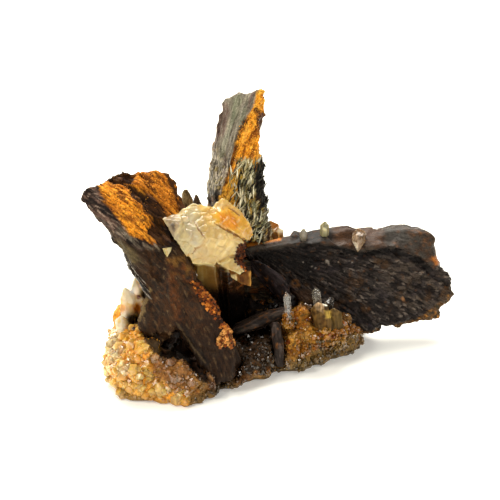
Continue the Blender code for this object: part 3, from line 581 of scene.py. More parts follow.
face = paint(face, lower * ramp(tiny_own, 0.6, 0.9) * 0.85, rgb(206, 194, 172))
face = paint(face, lower * ramp(cloud(points / 0.8, 3, 146), 0.15, 0.45) * 0.7, rgb(140, 122, 56))
face = paint(face, region([(204, 128), (213, 118), (215, 135), (210, 160), (206, 180), (200, 180)], crumbly, 2) * ramp(cloud(points / 0.8, 3, 143), -0.1, 0.4) * 0.8, rgb(176, 112, 34))
tint = paint(tint, grey, face)
hot = paint(np.tile(rgb(220, 144, 32), (len(points), 1)), ramp(crumbs, 0.0, 0.5), rgb(240, 178, 66))
hot = paint(hot, ramp(-crumbs, 0.1, 0.5), rgb(158, 80, 14))
hot = paint(hot, ramp(cloud(grain * np.array([0.3, 1.2, 0.8]), 3, 151), 0.04, 0.35) * 0.85, rgb(112, 52, 10))
hot = paint(hot, ramp(cloud(grain * np.array([0.25, 1.0, 0.8]), 3, 152), 0.05, 0.4) * 0.8, rgb(236, 176, 70))
tint = paint(tint, orange, hot)
tint = paint(tint, region([(247, 116), (239, 127), (235, 147), (230, 166), (224, 183), (228, 185), (233, 168), (238, 149), (242, 133), (248, 124)], (at[0] + wobble, at[1] + wobble), 1.0) * ramp(cloud(points / 0.9, 3, 153), -0.5, 0.1) * 0.9, rgb(58, 26, 8))
tint = paint(tint, region([(254, 109), (258, 108), (267, 115), (262, 126), (258, 130), (256, 120)], crumbly, 1.2) * front * 0.9, paint(np.tile(rgb(64, 34, 18), (len(points), 1)), ramp(crumbs, 0.1, 0.5), rgb(116, 66, 30)))
tint = paint(tint, yellow * 0.9, paint(hot, 0.3 + 0.6 * ramp(cloud(points / 0.8, 3, 154), -0.2, 0.3), rgb(186, 150, 56)))
leaf = paint(np.tile(rgb(112, 110, 72), (len(points), 1)), ramp(small_own, 0.45, 0.8), rgb(196, 186, 144))
leaf = paint(leaf, ramp(small_own, 0.45, 0.2), rgb(16, 11, 8))
leaf = paint(leaf, ramp(cloud(points / 1.3, 3, 160), 0.05, 0.4) * 0.8, rgb(176, 142, 48))
leaf = paint(leaf, ramp(at[1], 200, 230) * ramp(big_own, 0.7, 0.3), rgb(14, 10, 8))
tint = paint(tint, green, leaf)
# painted shade on the right edge, with a few paler flecks
tint = paint(tint, shaded_edge * 0.95, paint(np.tile(rgb(10, 7, 6), (len(points), 1)), ramp(small_own, 0.85, 1.0), rgb(70, 54, 36)))
tint = paint(tint, region([(204, 192), (218, 190), (217, 203), (205, 212), (200, 206)], crumbly, 1.5) * 0.94 * ramp(n_front, 0.15, 0.5), rgb(9, 7, 7))
# painted shade in the hollows, weaker on the orange side
tint = paint(tint, ramp(deep, 0.02, 0.10) * (0.85 - 0.35 * orange), rgb(16, 10, 6))
gloss = 0.42 + 0.35 * calm - 0.6 * orange - 0.45 * yellow + 0.2 * small_own
add_piece("tall_blade_skin", points, faces, SIDERITE, ["tall_blade"], tint, grain, gloss)
tall = (points, faces)

# ---------------------------------------------------------------- siderite: the crossed blades
points, faces = skin(["crossed_blades"], 0.11, 3)
points = nudge(points, (176, 175, 172, 176, 5), (175, 187, 178.5, 186, 6), (179, 197, 182.5, 196, 6), (176, 188, 178.5, 187, 4), (184, 208, 186, 207, 5), (89, 193, 87, 190.5, 4), (140, 172, 140, 169, 6), (100, 232, 105, 229, 16), (116, 256, 120, 253, 14), (214, 384, 208, 383, 12), (240, 374, 234.5, 374, 10), (228, 386, 223, 385, 9))
at = on_picture(points)
grain = arc(at, points[:, 1], LEFT_CENTRE)
way = np.stack([-(at[1] - LEFT_CENTRE[1]), at[0] - LEFT_CENTRE[0]])
way /= np.hypot(*way)
where = streaky(at, grain, way, 205, 7.0)
wobble = cloud(points / 0.9, 3, 206)
crumbly = (at[0] + wobble * 2.5, at[1] + wobble * 2.5)
n = normals(points, faces)
front = ramp(n @ -FORWARD, -0.1, 0.2)
end = region([(97, 181), (106, 172), (120, 165), (131, 164), (146, 161), (160, 161), (174, 166), (183, 180), (192, 204), (187, 214), (176, 217), (165, 220), (164, 229),
              (176, 238), (160, 243), (144, 242), (130, 235), (122, 224), (111, 210), (100, 194)], where, 1.6) * front
tongue = region([(98.4, 180), (111, 185), (126.6, 191), (141, 204), (149, 222), (144, 231), (130, 217), (114, 203), (101, 194)], where, 1.4) * front
RIM = [(160, 158), (172, 162), (186, 182), (194, 204), (198, 220), (181, 218), (176, 202), (171, 188), (163, 171)]
RIDGE, CLEFT, ROOT = [(102, 180), (106, 172), (120, 164), (137, 174), (133, 184), (118, 184)], [(128, 184), (142, 190), (156, 197), (166, 206), (168, 217), (153, 222), (144, 208), (132, 196)], [(150, 221), (176, 218), (178, 243), (159, 244), (148, 234)]
dark = np.clip(region(RIDGE, crumbly, 1.4) + region(CLEFT, where, 2.2) + region(ROOT, where, 2.0), 0, 1) * front
small_patch = region([(121, 220), (130, 222), (144, 238), (136, 238), (126, 229)], where, 1.2) * front
big, big_own = shingles(grain, (4.4, 0.9, 1.2), 203)
small, small_own = shingles(grain, (1.7, 0.36, 0.6), 208)
tiny, tiny_own = shingles(grain, (0.8, 0.2, 0.35), 209)
lines = swirl(grain * np.array([0.3, 4.2, 1.8]), 221)
crumbs = cloud(points / 0.34, 3, 250)
rims = 1.0 - ramp(np.abs(n @ -FORWARD), 0.1, 0.5)
lift = (big - 0.5) * (0.18 + 0.30 * end) + (small - 0.5) * (0.10 + 0.22 * end + 0.24 * rims) + (tiny - 0.5) * 0.08 + lines * 0.035 + crumbs * 0.08 * end
lift += 0.22 * tongue - 0.42 * dark
lift *= 1.0 - 0.7 * region([(140, 156), (170, 158), (186, 176), (192, 206), (180, 208), (172, 188), (160, 174), (140, 172)], at, 3.0)
points = points + n * lift[:, None]
deep = hollows(points, faces, 8)
at = on_picture(points)
tint = np.tile(rgb(37, 22, 10), (len(points), 1))
tint = paint(tint, ramp(cloud(points / 3.0, 3, 240), -0.1, 0.4) * 0.7, rgb(44, 33, 22))
tint = paint(tint, ramp(big_own, 0.5, 1.0) * 0.4, rgb(56, 40, 26))
tint = paint(tint, ramp(lines, 0.2, 0.8) * 0.5, rgb(74, 56, 38))
tint = paint(tint, ramp(tiny_own, 0.86, 1.0) * 0.6, rgb(110, 88, 60))
tint = paint(tint, ramp(small_own, 0.35, 0.0) * 0.75, rgb(18, 12, 8))
tint = paint(tint, region([(176, 296), (200, 292), (238, 344), (238, 388), (206, 394), (186, 348), (177, 326)], at, 5) * 0.4, rgb(34, 15, 5))
# purplish grey flank near the top left
flank = region([(78, 192), (97, 184), (112, 203), (124, 222), (142, 238), (158, 246), (140, 250), (118, 236), (100, 218), (82, 204)], crumbly, 2.5) * front
tint = paint(tint, flank * 0.85, paint(np.tile(rgb(44, 31, 26), (len(points), 1)), ramp(small_own, 0.6, 1.0), rgb(104, 80, 68)))
tint = paint(tint, flank * ramp(tiny_own, 0.82, 1.0) * 0.7, rgb(160, 138, 120))
tint = paint(tint, flank * ramp(small_own, 0.35, 0.05) * 0.9, rgb(18, 12, 10))
tint = paint(tint, region([(118, 240), (134, 250), (141, 262), (130, 266), (116, 250)], crumbly, 3) * 0.5, rgb(92, 80, 50))
tint = paint(tint, region([(118, 226), (140, 241), (160, 245), (158, 251), (136, 247), (116, 233)], crumbly, 2) * ramp(small_own, 0.2, 0.7) * 0.6, rgb(112, 104, 88))
# rusty brown web where the blades cross and down the ridge
web = 1.0 - ramp(np.abs(cloud(points / 2.3, 3, 245)), 0.02, 0.16)
web = np.clip(web + ramp(cloud(points / 1.5, 3, 244), 0.15, 0.45), 0, 1) * region([(146, 244), (190, 256), (214, 298), (206, 330), (176, 345), (150, 330), (140, 290)], at, 10)
tint = paint(tint, web * 0.32, rgb(80, 48, 22))
tint = paint(tint, region([(166, 256), (175, 256), (180, 300), (183, 332), (176, 332), (170, 296)], crumbly, 2.2) * ramp(cloud(points / 0.9, 3, 246), -0.4, 0.2) * 0.55, rgb(92, 50, 18))
tint = paint(tint, region([(168, 258), (190, 254), (200, 268), (186, 276), (172, 272)], crumbly, 4) * ramp(cloud(points / 1.1, 3, 247), -0.3, 0.3) * 0.7, rgb(118, 82, 34))
tint = paint(tint, region([(184, 262), (200, 282), (212, 300), (204, 302), (190, 288), (178, 270)], crumbly, 3) * ramp(cloud(points / 0.8, 3, 248), -0.1, 0.3) * 0.6, rgb(104, 56, 20))
# pale lines along the edges of the legs
tint = paint(tint, region([(149, 286), (152, 290), (146, 304), (140, 322), (137, 322), (143, 300)], crumbly, 1.0) * 0.7, rgb(120, 98, 62))
tint = paint(tint, region([(172, 320), (180, 319), (196, 342), (210, 362), (205, 370), (186, 350)], crumbly, 1.6) * 0.8, rgb(22, 14, 9))
tint = paint(tint, region([(176, 323), (177.5, 322.5), (190, 342), (206, 362), (205, 364), (189, 344)], crumbly, 0.6) * 0.5, rgb(92, 74, 50))
brown = paint(np.tile(rgb(184, 110, 26), (len(points), 1)), ramp(crumbs, 0.1, 0.6) * 0.7, rgb(206, 134, 40))
brown = paint(brown, ramp(-crumbs, 0.2, 0.7) * 0.7, rgb(104, 54, 14))
brown = paint(brown, ramp(small_own, 0.35, 0.05) * 0.8, rgb(66, 34, 12))
brown = paint(brown, ramp(cloud(grain * np.array([0.35, 1.4, 0.8]), 3, 251), 0.05, 0.4) * 0.7, rgb(116, 60, 16))
brown = paint(brown, ramp(cloud(grain * np.array([0.3, 1.1, 0.8]), 3, 253), 0.1, 0.4) * 0.7, rgb(222, 146, 40))
tint = paint(tint, end, brown)
tint = paint(tint, region(RIM, (at[0] + wobble * 1.5, at[1] + wobble * 1.5), 1.6) * ramp(cloud(points / 0.7, 3, 254), -0.6, -0.1) * 0.92, rgb(44, 26, 14))
hot = paint(np.tile(rgb(218, 136, 30), (len(points), 1)), ramp(crumbs, 0.0, 0.5), rgb(238, 172, 60))
hot = paint(hot, ramp(-crumbs, 0.3, 0.8) * 0.8, rgb(150, 80, 18))
hot = paint(hot, ramp(small_own, 0.3, 0.05) * 0.8, rgb(74, 36, 10))
hot = paint(hot, ramp(cloud(grain * np.array([0.3, 1.3, 0.8]), 3, 252), 0.1, 0.4) * 0.85, rgb(112, 56, 12))
tint = paint(tint, np.clip(tongue + small_patch, 0, 1) * 0.95, hot)
tint = paint(tint, dark * 0.92, paint(np.tile(rgb(20, 13, 11), (len(points), 1)), ramp(small_own, 0.7, 1.0), rgb(72, 54, 46)))
# painted shade in the hollows
tint = paint(tint, ramp(deep, 0.02, 0.10) * 0.8, rgb(10, 6, 4))
tint = paint(tint, (1 - front) * ramp(cloud(points / 2.0, 3, 260), 0.12, 0.4) * 0.7, rgb(126, 72, 24))
gloss = 0.5 - 0.5 * end - 0.4 * tongue + 0.25 * small_own - 0.05 * flank - 0.3 * web
add_piece("crossed_blades_skin", points, faces, SIDERITE, ["crossed_blades"], tint, grain, gloss)
crossed = (points, faces)

# ---------------------------------------------------------------- siderite: small blades
def little_blade(name, axis, base, light, seed, voxel=0.11, speckle=rgb(120, 74, 30), moves=()):
    points, faces = skin([name], voxel, 2)
    points = nudge(points, *moves)
    axis = np.asarray(axis, float)
    axis /= np.linalg.norm(axis)
    side = np.cross(axis, FORWARD)
    side /= np.linalg.norm(side)
    grain = np.stack([points @ axis, points @ side, points @ np.cross(axis, side)], axis=1)
    scale, own = shingles(grain, (2.6, 0.5, 0.6), seed)
    lines = swirl(grain * np.array([0.3, 4.0, 4.0]), seed + 1)
    points = points + normals(points, faces) * ((scale - 0.5) * 0.12 + lines * 0.03)[:, None]
    deep = hollows(points, faces)
    tint = np.tile(base, (len(points), 1))
    tint = paint(tint, ramp(own, 0.4, 1.0) * 0.7, light)
    tint = paint(tint, ramp(lines, 0.2, 0.8) * 0.4, light)
    tint = paint(tint, ramp(cloud(points / 0.8, 3, seed + 2), 0.25, 0.55) * 0.6, speckle)
    # painted shade in the hollows
    tint = paint(tint, ramp(deep, 0.02, 0.1) * 0.8, rgb(10, 8, 8))
    add_piece(name + "_skin", points, faces, SIDERITE, [name], tint, grain, np.full(len(points), 0.72))


little_blade("under_blade", seen(290, 300, 17.8) - seen(252, 262, 19), rgb(26, 20, 20), rgb(62, 52, 54), 300)
little_blade("cavity_blade", seen(289, 310, 14) - seen(232, 332, 13), rgb(26, 19, 15), rgb(74, 60, 50), 310)
little_blade("upright_blade", seen(275, 322, 12) - seen(280, 366, 11), rgb(32, 24, 20), rgb(78, 66, 60), 320)
little_blade("back_blade_a", seen(188, 188, 20) - seen(190, 300, 21), rgb(84, 66, 42), rgb(146, 124, 82), 330, speckle=rgb(150, 96, 40), moves=((184, 196, 182, 194, 7), (184, 210, 181, 210, 8)))
little_blade("back_blade_b", seen(198, 195, 17.5) - seen(202, 300, 19), rgb(60, 48, 38), rgb(112, 96, 74), 340, moves=((197, 198, 196, 195.5, 4), (194.5, 205, 192, 205, 5)))

# ---------------------------------------------------------------- quartz: the cream group
points, faces = skin(["quartz_group"], 0.10, 1)
n = normals(points, faces)
at = on_picture(points)
wobble = cloud(points / 0.8, 3, 405)
where = (at[0] + wobble * 3, at[1] + wobble * 3)
chips, chips_own = shingles(points, (1.5, 1.1, 1.3), 401)
CRACKS = (
    ([(194, 221), (196, 223.4), (201, 231.4), (206, 237.4), (207, 240.5), (205.8, 239.6), (200.4, 233.4), (195.5, 226)], 0.12),
    ([(200.5, 245), (200.8, 245.6), (196, 250.4), (193, 255), (192.6, 254.6), (195.4, 250)], 0.08),
    ([(214, 222.6), (222.5, 226.7), (237.5, 235), (246.5, 240.2), (246.5, 241), (236, 235.6), (221, 227.2), (214, 223.2)], 0.32),
    ([(229.5, 207.6), (235, 210), (240, 215), (239.5, 216), (234, 211.2), (229, 208.4)], 0.14),
    ([(214, 265), (216, 262), (220, 266), (227, 270), (226, 271.5), (218, 268.5)], 0.3),
)
RUSTY = [(235, 252), (242, 243), (252, 240), (253, 263), (248, 270), (243, 269), (235.5, 262)]
lift = (chips - 0.5) * 0.24 + cloud(points / 1.1, 3, 402) * 0.12
for line, depth in CRACKS:
    lift -= depth * region(line, (at[0] + wobble * 2.5, at[1] + wobble * 2.5), 0.7)
rim = np.interp(at[0], [180, 187, 190, 200, 206, 214, 217.6, 225.8, 236, 243, 246], [251, 258, 264.5, 265.2, 264.8, 266.4, 265.8, 271.4, 273.2, 274.6, 273])
below = ramp(at[1] - 0.6 * wobble - rim, 0.0, 1.2)
points = points + n * (lift * (1 - 0.8 * below))[:, None]
crest = ramp(-hollows(points, faces, 10), 0.04, 0.14)
tint = np.tile(rgb(222, 190, 122), (len(points), 1))
tint = paint(tint, region([(177, 214), (192, 202), (203, 208), (199, 226), (203, 242), (195, 256), (184, 256), (175, 240)], where, 4) * 0.85, rgb(218, 202, 152))
tint = paint(tint, region([(184, 216), (194, 208), (195, 226), (199, 240), (196, 248), (190, 244)], where, 3) * 0.6, rgb(204, 194, 168))
tint = paint(tint, region([(162, 215), (178, 214), (180.5, 221), (178, 240), (172, 238)], where, 1.5) * 0.9, rgb(176, 158, 128))
tint = paint(tint, region([(168, 222), (176, 224), (173, 231)], where, 1.2) * 0.8, rgb(96, 80, 74))
tint = paint(tint, region([(198, 205), (214, 207), (224, 226), (210, 224), (200, 214)], where, 3) * 0.8, rgb(238, 196, 104))
tint = paint(tint, region([(206, 238), (222, 230), (240, 240), (238, 262), (220, 264), (208, 256)], where, 5) * 0.6, rgb(236, 204, 124))
tint = paint(tint, region([(214, 212), (232, 204), (252, 224), (254, 240), (246, 241), (228, 229), (213, 221)], where, 2.5) * 0.9, rgb(250, 190, 62))
tint = paint(tint, region([(218, 214), (230, 212), (240, 222), (236, 230), (222, 226)], where, 2.5) * 0.7, rgb(240, 140, 24))
tint = paint(tint, region([(238, 222), (252, 226), (250, 239), (240, 236)], where, 2) * 0.7, rgb(238, 184, 84))
tint = paint(tint, region([(218, 202), (223, 196), (236, 201), (243, 213), (239, 215), (228, 206)], where, 1.5) * 0.85, rgb(240, 200, 116))
tint = paint(tint, region([(184, 254), (190, 255), (190, 264), (187, 262)], where, 1.2) * 0.8, rgb(222, 148, 52))
# painted highlight: a pale band just above the lower rim of the group
tint = paint(tint, ramp(at[1] - 0.6 * wobble - rim, -2.6, -1.2) * (at[0] > 186), rgb(255, 230, 158))
for line, depth in CRACKS:
    tint = paint(tint, region(line, (at[0] + wobble * 2.5, at[1] + wobble * 2.5), 0.4) * 0.8, rgb(150, 88, 30))
threads = swirl(np.stack([(at[0] * 0.8 + at[1] * 0.6) / 3.2, (at[1] * 0.8 - at[0] * 0.6) / 14.0, points[:, 1] * 0.7], axis=1), 415)
tint = paint(tint, ramp(threads, 0.2, 0.7) * 0.45, rgb(255, 236, 180))
tint = paint(tint, ramp(-threads, 0.3, 0.8) * 0.35, rgb(206, 150, 70))
# painted highlight on the crests of the crystal faces
tint = paint(tint, crest * 0.6, rgb(255, 238, 176))
tint = paint(tint, region(RUSTY, where, 1.2) * 0.95, rgb(84, 38, 10))
prism = paint(np.tile(rgb(196, 158, 84), (len(points), 1)), ramp(at[0], 198, 212), rgb(160, 118, 58))
prism = paint(prism, ramp(swirl(np.stack([at[0] / 3.0, at[1] / 40.0, points[:, 1] * 0.5], axis=1), 411), 0.0, 0.6) * 0.7, rgb(214, 184, 118))
prism = paint(prism, ramp(at[0] + wobble * 2, 214, 220), paint(np.tile(rgb(56, 34, 16), (len(points), 1)), ramp(cloud(points / 0.6, 3, 412), 0.1, 0.4), rgb(122, 74, 36)))
# painted shade: the prism under the rim darkens towards its lower left and is nearly black at its foot in the cavity
prism = paint(prism, ramp(at[1] - 0.5 * (at[0] - 190), 268, 284), rgb(34, 22, 12))
prism = paint(prism, ramp(at[1], 286, 296), rgb(8, 5, 4))
tint = paint(tint, below, prism)
add_piece("quartz_group_skin", points, faces, CREAM, ["quartz_group"], tint)
cream_group = (points, faces)


def crystal_skin(name, material, base, light, voxel=0.07, axis=(0, 0, 1), spots=(), moves=(), areas=(), streaks=0.0, foot=0.0):
    """A small quartz crystal with growth lines across its faces and a veil of colour in it."""
    points, faces = skin([name], voxel, 1)
    points = nudge(points, *moves)
    if foot:
        low, high = points[:, 2].min(), points[:, 2].max()
        points[:, 2] -= foot * (1 - ramp(points[:, 2], low, low + 0.6 * (high - low)))
    axis = np.asarray(axis, float) / np.linalg.norm(axis)
    n = normals(points, faces)
    steps = swirl(np.stack([points @ axis * 5.0, n[:, 0] * 1.5, n[:, 1] * 1.5], axis=1), 501)
    points = points + n * (steps * 0.015 + cloud(points / 0.5, 2, 500) * 0.02)[:, None]
    tint = paint(np.tile(base, (len(points), 1)), ramp(cloud(points / 0.9, 3, 502), -0.1, 0.4), light)
    for column, row, reach, colour in spots:
        tint = paint(tint, spot(on_picture(points), column, row, reach), colour)
    jog = cloud(points / 0.4, 3, 505) * 1.2
    at = (on_picture(points)[0] + jog, on_picture(points)[1] + jog)
    for outline, share, colour in areas:
        tint = paint(tint, region(outline, at, 0.9) * share, colour)
    if streaks:
        fibre = swirl(np.stack([points[:, 0] * 4.5, points @ axis * 0.5, points[:, 1] * 2.0], axis=1), 506)
        tint = tint * (1 + streaks * fibre)[:, None]
    return add_piece(name + "_skin", points, faces, material, [name], tint)


crystal_skin("quartz_tip_low", HONEY, rgb(116, 74, 30), rgb(84, 50, 16), 0.08, streaks=0.5, areas=(
    ([(229, 276), (236, 274.5), (237.5, 280), (234.5, 284), (230, 281)], 0.85, rgb(190, 172, 122)),
    ([(238, 276), (243, 276), (246, 284), (241, 282)], 0.8, rgb(66, 36, 14)),
    ([(249.3, 271), (253, 271), (253, 290), (248.6, 290)], 0.75, rgb(206, 148, 66)),
    ([(236, 285), (252, 286.2), (252, 290), (236, 290)], 0.7, rgb(168, 88, 40)),
    ([(236, 260), (254, 260), (254, 271.5), (244, 270.2), (236, 268)], 0.95, rgb(24, 13, 7))))
# on the olive crystal, the near-white band along its top edge is a painted highlight
crystal_skin("olive_crystal", HONEY, rgb(100, 74, 36), rgb(54, 37, 16), 0.08, streaks=0.8, areas=(
    ([(331, 300), (345, 300), (346, 332), (333, 336), (330, 318)], 0.8, rgb(84, 66, 34)),
    ([(312, 303), (319, 301), (324.5, 306), (323, 313), (317, 310)], 0.45, rgb(176, 148, 112)),
    ([(325, 310.5), (331, 311), (331.5, 318), (326, 318)], 0.6, rgb(204, 172, 80)),
    ([(322, 320), (326, 320), (327, 334), (323, 334)], 0.6, rgb(78, 52, 18)),
    ([(322.5, 301.5), (335, 305), (335, 308), (323.5, 305)], 0.8, rgb(255, 250, 228))))
crystal_skin("needle_front", CLEAR, rgb(255, 252, 246), rgb(246, 240, 228), 0.06, moves=((281.5, 296, 282.5, 296, 5), (281.5, 306, 283, 306, 6), (281.5, 316, 283.5, 316, 6)))
crystal_skin("needle_pair", CLEAR, rgb(252, 246, 232), rgb(238, 228, 206), 0.06, areas=(([(326, 288), (346, 288), (346, 312), (326, 312)], 0.9, rgb(112, 98, 88)),))
crystal_skin("left_quartz", VEILED, rgb(252, 238, 206), rgb(244, 210, 140), 0.09,
             spots=((133, 291, 4.5, rgb(255, 252, 240)), (122, 308, 4.5, rgb(214, 142, 20)), (119, 301, 3.2, rgb(240, 196, 104)), (137, 308, 5.0, rgb(180, 106, 10)), (138.5, 297, 2.4, rgb(96, 26, 0)), (146, 294, 6.5, rgb(6, 4, 3)),
                    (134, 320, 8.0, rgb(6, 4, 3))), moves=((137, 283, 135, 278.5, 7), (128, 292, 125, 288.5, 6)))
crystal_skin("rim_knob_a", MILKY, rgb(206, 196, 150), rgb(180, 176, 140), 0.06, foot=0.8)
crystal_skin("rim_knob_b", MILKY, rgb(196, 188, 170), rgb(170, 160, 140), 0.06, foot=0.5)
crystal_skin("rim_quartz", BROWN, rgb(146, 122, 96), rgb(112, 86, 60), 0.07, streaks=0.6, areas=(([(351, 241), (358, 243), (357, 252), (352, 249)], 0.8, rgb(222, 208, 184)),), moves=((354, 228, 354, 232.5, 5), (364, 228, 364, 232.5, 5)))
crystal_skin("chip_quartz", CREAM, rgb(232, 214, 158), rgb(216, 186, 116), 0.06)
crystal_skin("back_quartz", CREAM, rgb(170, 124, 60), rgb(214, 184, 130), 0.09, spots=((281, 230, 4.0, rgb(232, 212, 176)), (275, 225, 4.5, rgb(150, 92, 34))))

# ---------------------------------------------------------------- matrix: the rock and its druse
points, faces = skin(["matrix"], 0.19, 3)
points = nudge(points, (100, 340, 104, 341, 12), (103, 362, 105, 362, 10))
n = normals(points, faces)
at = on_picture(points)
low = ramp(points[:, 2], 0.0, 0.8)
HOLLOW = [(172, 322), (178, 324), (190, 339), (198, 356), (211, 382), (203, 383), (190, 370), (182, 361), (170, 360), (158, 359), (160, 345)]


def shaded_hollow(mid):
    """The gap between the legs of the crossed blades, where black is painted as shade."""
    return region(HOLLOW, on_picture(mid), 2) * (1 - ramp(mid[:, 1], -1.2, -0.4))


lift = 0.05 + 0.30 * cloud(points / 1.3, 3, 600) + 0.12 * cloud(points / 0.45, 2, 610) - 1.1 * shaded_hollow(points)
points = points + n * (lift * low)[:, None]


# where the tip of the left leg shows through the druse
LEG_TIP = [(143, 330), (158, 326), (172, 330), (166, 340), (160, 346), (158.5, 359), (151, 349), (144, 340)]


def in_cavity(points, facing):
    """The shadowed hollow between the blades, on its front-facing walls only."""
    hollow = [(150, 296), (196, 262), (246, 258), (300, 296), (286, 316), (262, 330), (236, 338), (205, 345)]
    wobble = cloud(points / 1.5, 3, 605)
    at = on_picture(points)
    where = (at[0] + wobble * 6, at[1] + wobble * 6)
    near = ramp(points[:, 1], -7.5, -5.5) * (1 - ramp(points[:, 1], 7.0, 9.0))
    return near * region(hollow, where, 3) * ramp(facing, -0.15, 0.2)


def druse_colour(points, seed, facing):
    """The colour of the rock and its small crystals by place."""
    at = on_picture(points)
    wobble = cloud(points / 1.5, 3, 605)
    where = (at[0] + wobble * 6, at[1] + wobble * 6)
    a, b = cloud(points / 2.2, 3, seed), cloud(points / 1.0, 3, seed + 1)
    tint = np.tile(rgb(156, 108, 50), (len(points), 1))
    tint = paint(tint, ramp(a, 0.0, 0.4) * 0.7, rgb(196, 152, 86))
    tint = paint(tint, ramp(-a, 0.05, 0.4) * 0.7, rgb(116, 92, 56))
    tint = paint(tint, ramp(b, 0.15, 0.45) * 0.6, rgb(196, 112, 34))
    left = region([(95, 310), (150, 300), (166, 322), (178, 350), (190, 372), (186, 420), (95, 420)], where, 6)
    soft = cloud(points / 2.6, 2, seed + 2)
    cream = paint(np.tile(rgb(255, 194, 92), (len(points), 1)), ramp(soft, 0.0, 0.4), rgb(250, 168, 52))
    cream = paint(cream, ramp(-soft, 0.1, 0.5), rgb(255, 206, 136))
    cream = paint(cream, region([(104, 330), (120, 330), (120, 356), (112, 368), (104, 360)], where, 4) * 0.7, rgb(232, 204, 156))
    cream = paint(cream, region([(119, 330), (148, 326), (152, 342), (124, 346)], where, 4) * 0.7, rgb(244, 166, 52))
    cream = paint(cream, region([(132, 350), (148, 348), (150, 364), (136, 370)], where, 3) * 0.5, rgb(236, 140, 36))
    cream = paint(cream, ramp(b, 0.3, 0.6) * 0.6, rgb(214, 122, 34))
    cream = paint(cream, ramp(-b, 0.25, 0.6) * 0.7, rgb(160, 92, 34))
    cream = paint(cream, region([(104, 392), (140, 396), (180, 408), (180, 420), (100, 420)], where, 4) * 0.8, rgb(122, 94, 50))
    mauve = region([(148, 354), (164, 357), (186, 360), (206, 382), (198, 390), (172, 388), (152, 374)], where, 4)
    cream = paint(cream, mauve * 0.85, paint(np.tile(rgb(146, 92, 52), (len(points), 1)), ramp(b, -0.05, 0.35), rgb(92, 50, 22)))
    tint = paint(tint, left, cream)
    middle = region([(192, 356), (204, 350), (250, 372), (262, 400), (212, 400), (204, 386)], where, 5)
    dusky = paint(np.tile(rgb(104, 66, 34), (len(points), 1)), ramp(a, 0.0, 0.4), rgb(140, 100, 60))
    dusky = paint(dusky, ramp(-b, 0.1, 0.4), rgb(44, 28, 18))
    tint = paint(tint, middle * 0.9, dusky)
    hill = region([(283, 312), (302, 304), (330, 320), (360, 330), (372, 345), (350, 362), (300, 366), (284, 350)], where, 5)
    sugar = paint(np.tile(rgb(172, 108, 24), (len(points), 1)), ramp(a, -0.05, 0.35), rgb(204, 146, 54))
    sugar = paint(sugar, ramp(b, 0.1, 0.45), rgb(142, 66, 8))
    sugar = paint(sugar, ramp(-b, 0.15, 0.45), rgb(96, 72, 22))
    tint = paint(tint, hill, sugar)
    tint = paint(tint, region([(304, 303), (318, 305), (323, 322), (319, 330), (308, 324)], where, 3) * 0.75, rgb(58, 34, 14))
    tint = paint(tint, region([(290, 330), (310, 326), (316, 344), (296, 350)], where, 4) * ramp(b, -0.1, 0.3) * 0.6, rgb(196, 164, 92))
    crust = region([(284, 360), (310, 352), (340, 340), (372, 326), (372, 345), (350, 366), (316, 384), (280, 388)], where, 4)
    tint = paint(tint, crust * 0.8, paint(np.tile(rgb(112, 92, 52), (len(points), 1)), ramp(a, 0, 0.4), rgb(140, 112, 60)))
    foot = 1 - ramp(points[:, 2], 0.5, 1.8)
    tint = paint(tint, foot * (0.75 - 0.55 * left), paint(np.tile(rgb(104, 84, 48), (len(points), 1)), ramp(b, 0, 0.4), rgb(146, 116, 62)))
    # dark crystals in the middle, and painted shade: the cavity behind them is painted black
    glassy = region([(232, 338), (262, 326), (284, 328), (284, 352), (268, 372), (240, 374)], where, 3)
    tint = paint(tint, glassy * 0.9, paint(np.tile(rgb(24, 16, 12), (len(points), 1)), ramp(b, 0.1, 0.4), rgb(70, 46, 24)))
    tint = paint(tint, in_cavity(points, facing) * 0.98, rgb(4, 2, 2))
    near = (1 - ramp(points[:, 1], -1.8, -1.0)) * ramp(facing, -0.15, 0.1)
    tint = paint(tint, near * region(LEG_TIP, at, 1.5) * 0.95, paint(np.tile(rgb(40, 27, 17), (len(points), 1)), ramp(b, 0.0, 0.4), rgb(62, 46, 32)))
    # painted shade: the gap between the legs of the crossed blades is painted black
    tint = paint(tint, shaded_hollow(points) * 0.98, rgb(5, 3, 3))
    tint = paint(tint, near * region([(120, 314), (131, 311), (146, 311), (146, 326), (132, 329), (121, 326)], where, 1.5) * 0.97, rgb(8, 6, 5))
    return tint


tint = druse_colour(points, 620, n @ -FORWARD) * 0.72
deep = hollows(points, faces)
# painted shade in the hollows of the rock
tint = paint(tint, ramp(deep, 0.02, 0.2) * 0.5, rgb(70, 42, 20))
add_piece("matrix_skin", points, faces, ROCK, ["matrix"], tint)
rock, rock_faces, rock_normals = points, faces, normals(points, faces)


def scatter(points, faces, n, rng, count, keep):
    """Evenly spread random places on a skin: point, normal."""
    quad = points[faces]
    area = np.linalg.norm(np.cross(quad[:, 2] - quad[:, 0], quad[:, 3] - quad[:, 1]), axis=1)
    middle = quad.mean(axis=1)
    share = area * np.clip(keep(middle, n[faces].mean(axis=1)), 0, 1)
    pick = rng.choice(len(faces), size=count, p=share / share.sum())
    u, v = rng.random((2, count, 1))
    q = points[faces[pick]]
    place = (q[:, 0] * (1 - u) + q[:, 1] * u) * (1 - v) + (q[:, 3] * (1 - u) + q[:, 2] * u) * v
    normal = n[faces[pick]].mean(axis=1)
    return place, normal / np.linalg.norm(normal, axis=1)[:, None]


def sides_of(axis, rng):
    """Two directions square to each axis, turned at random."""
    other = rng.normal(size=axis.shape)
    side = np.cross(axis, other)
    side /= np.linalg.norm(side, axis=1)[:, None]
    return side, np.cross(axis, side)


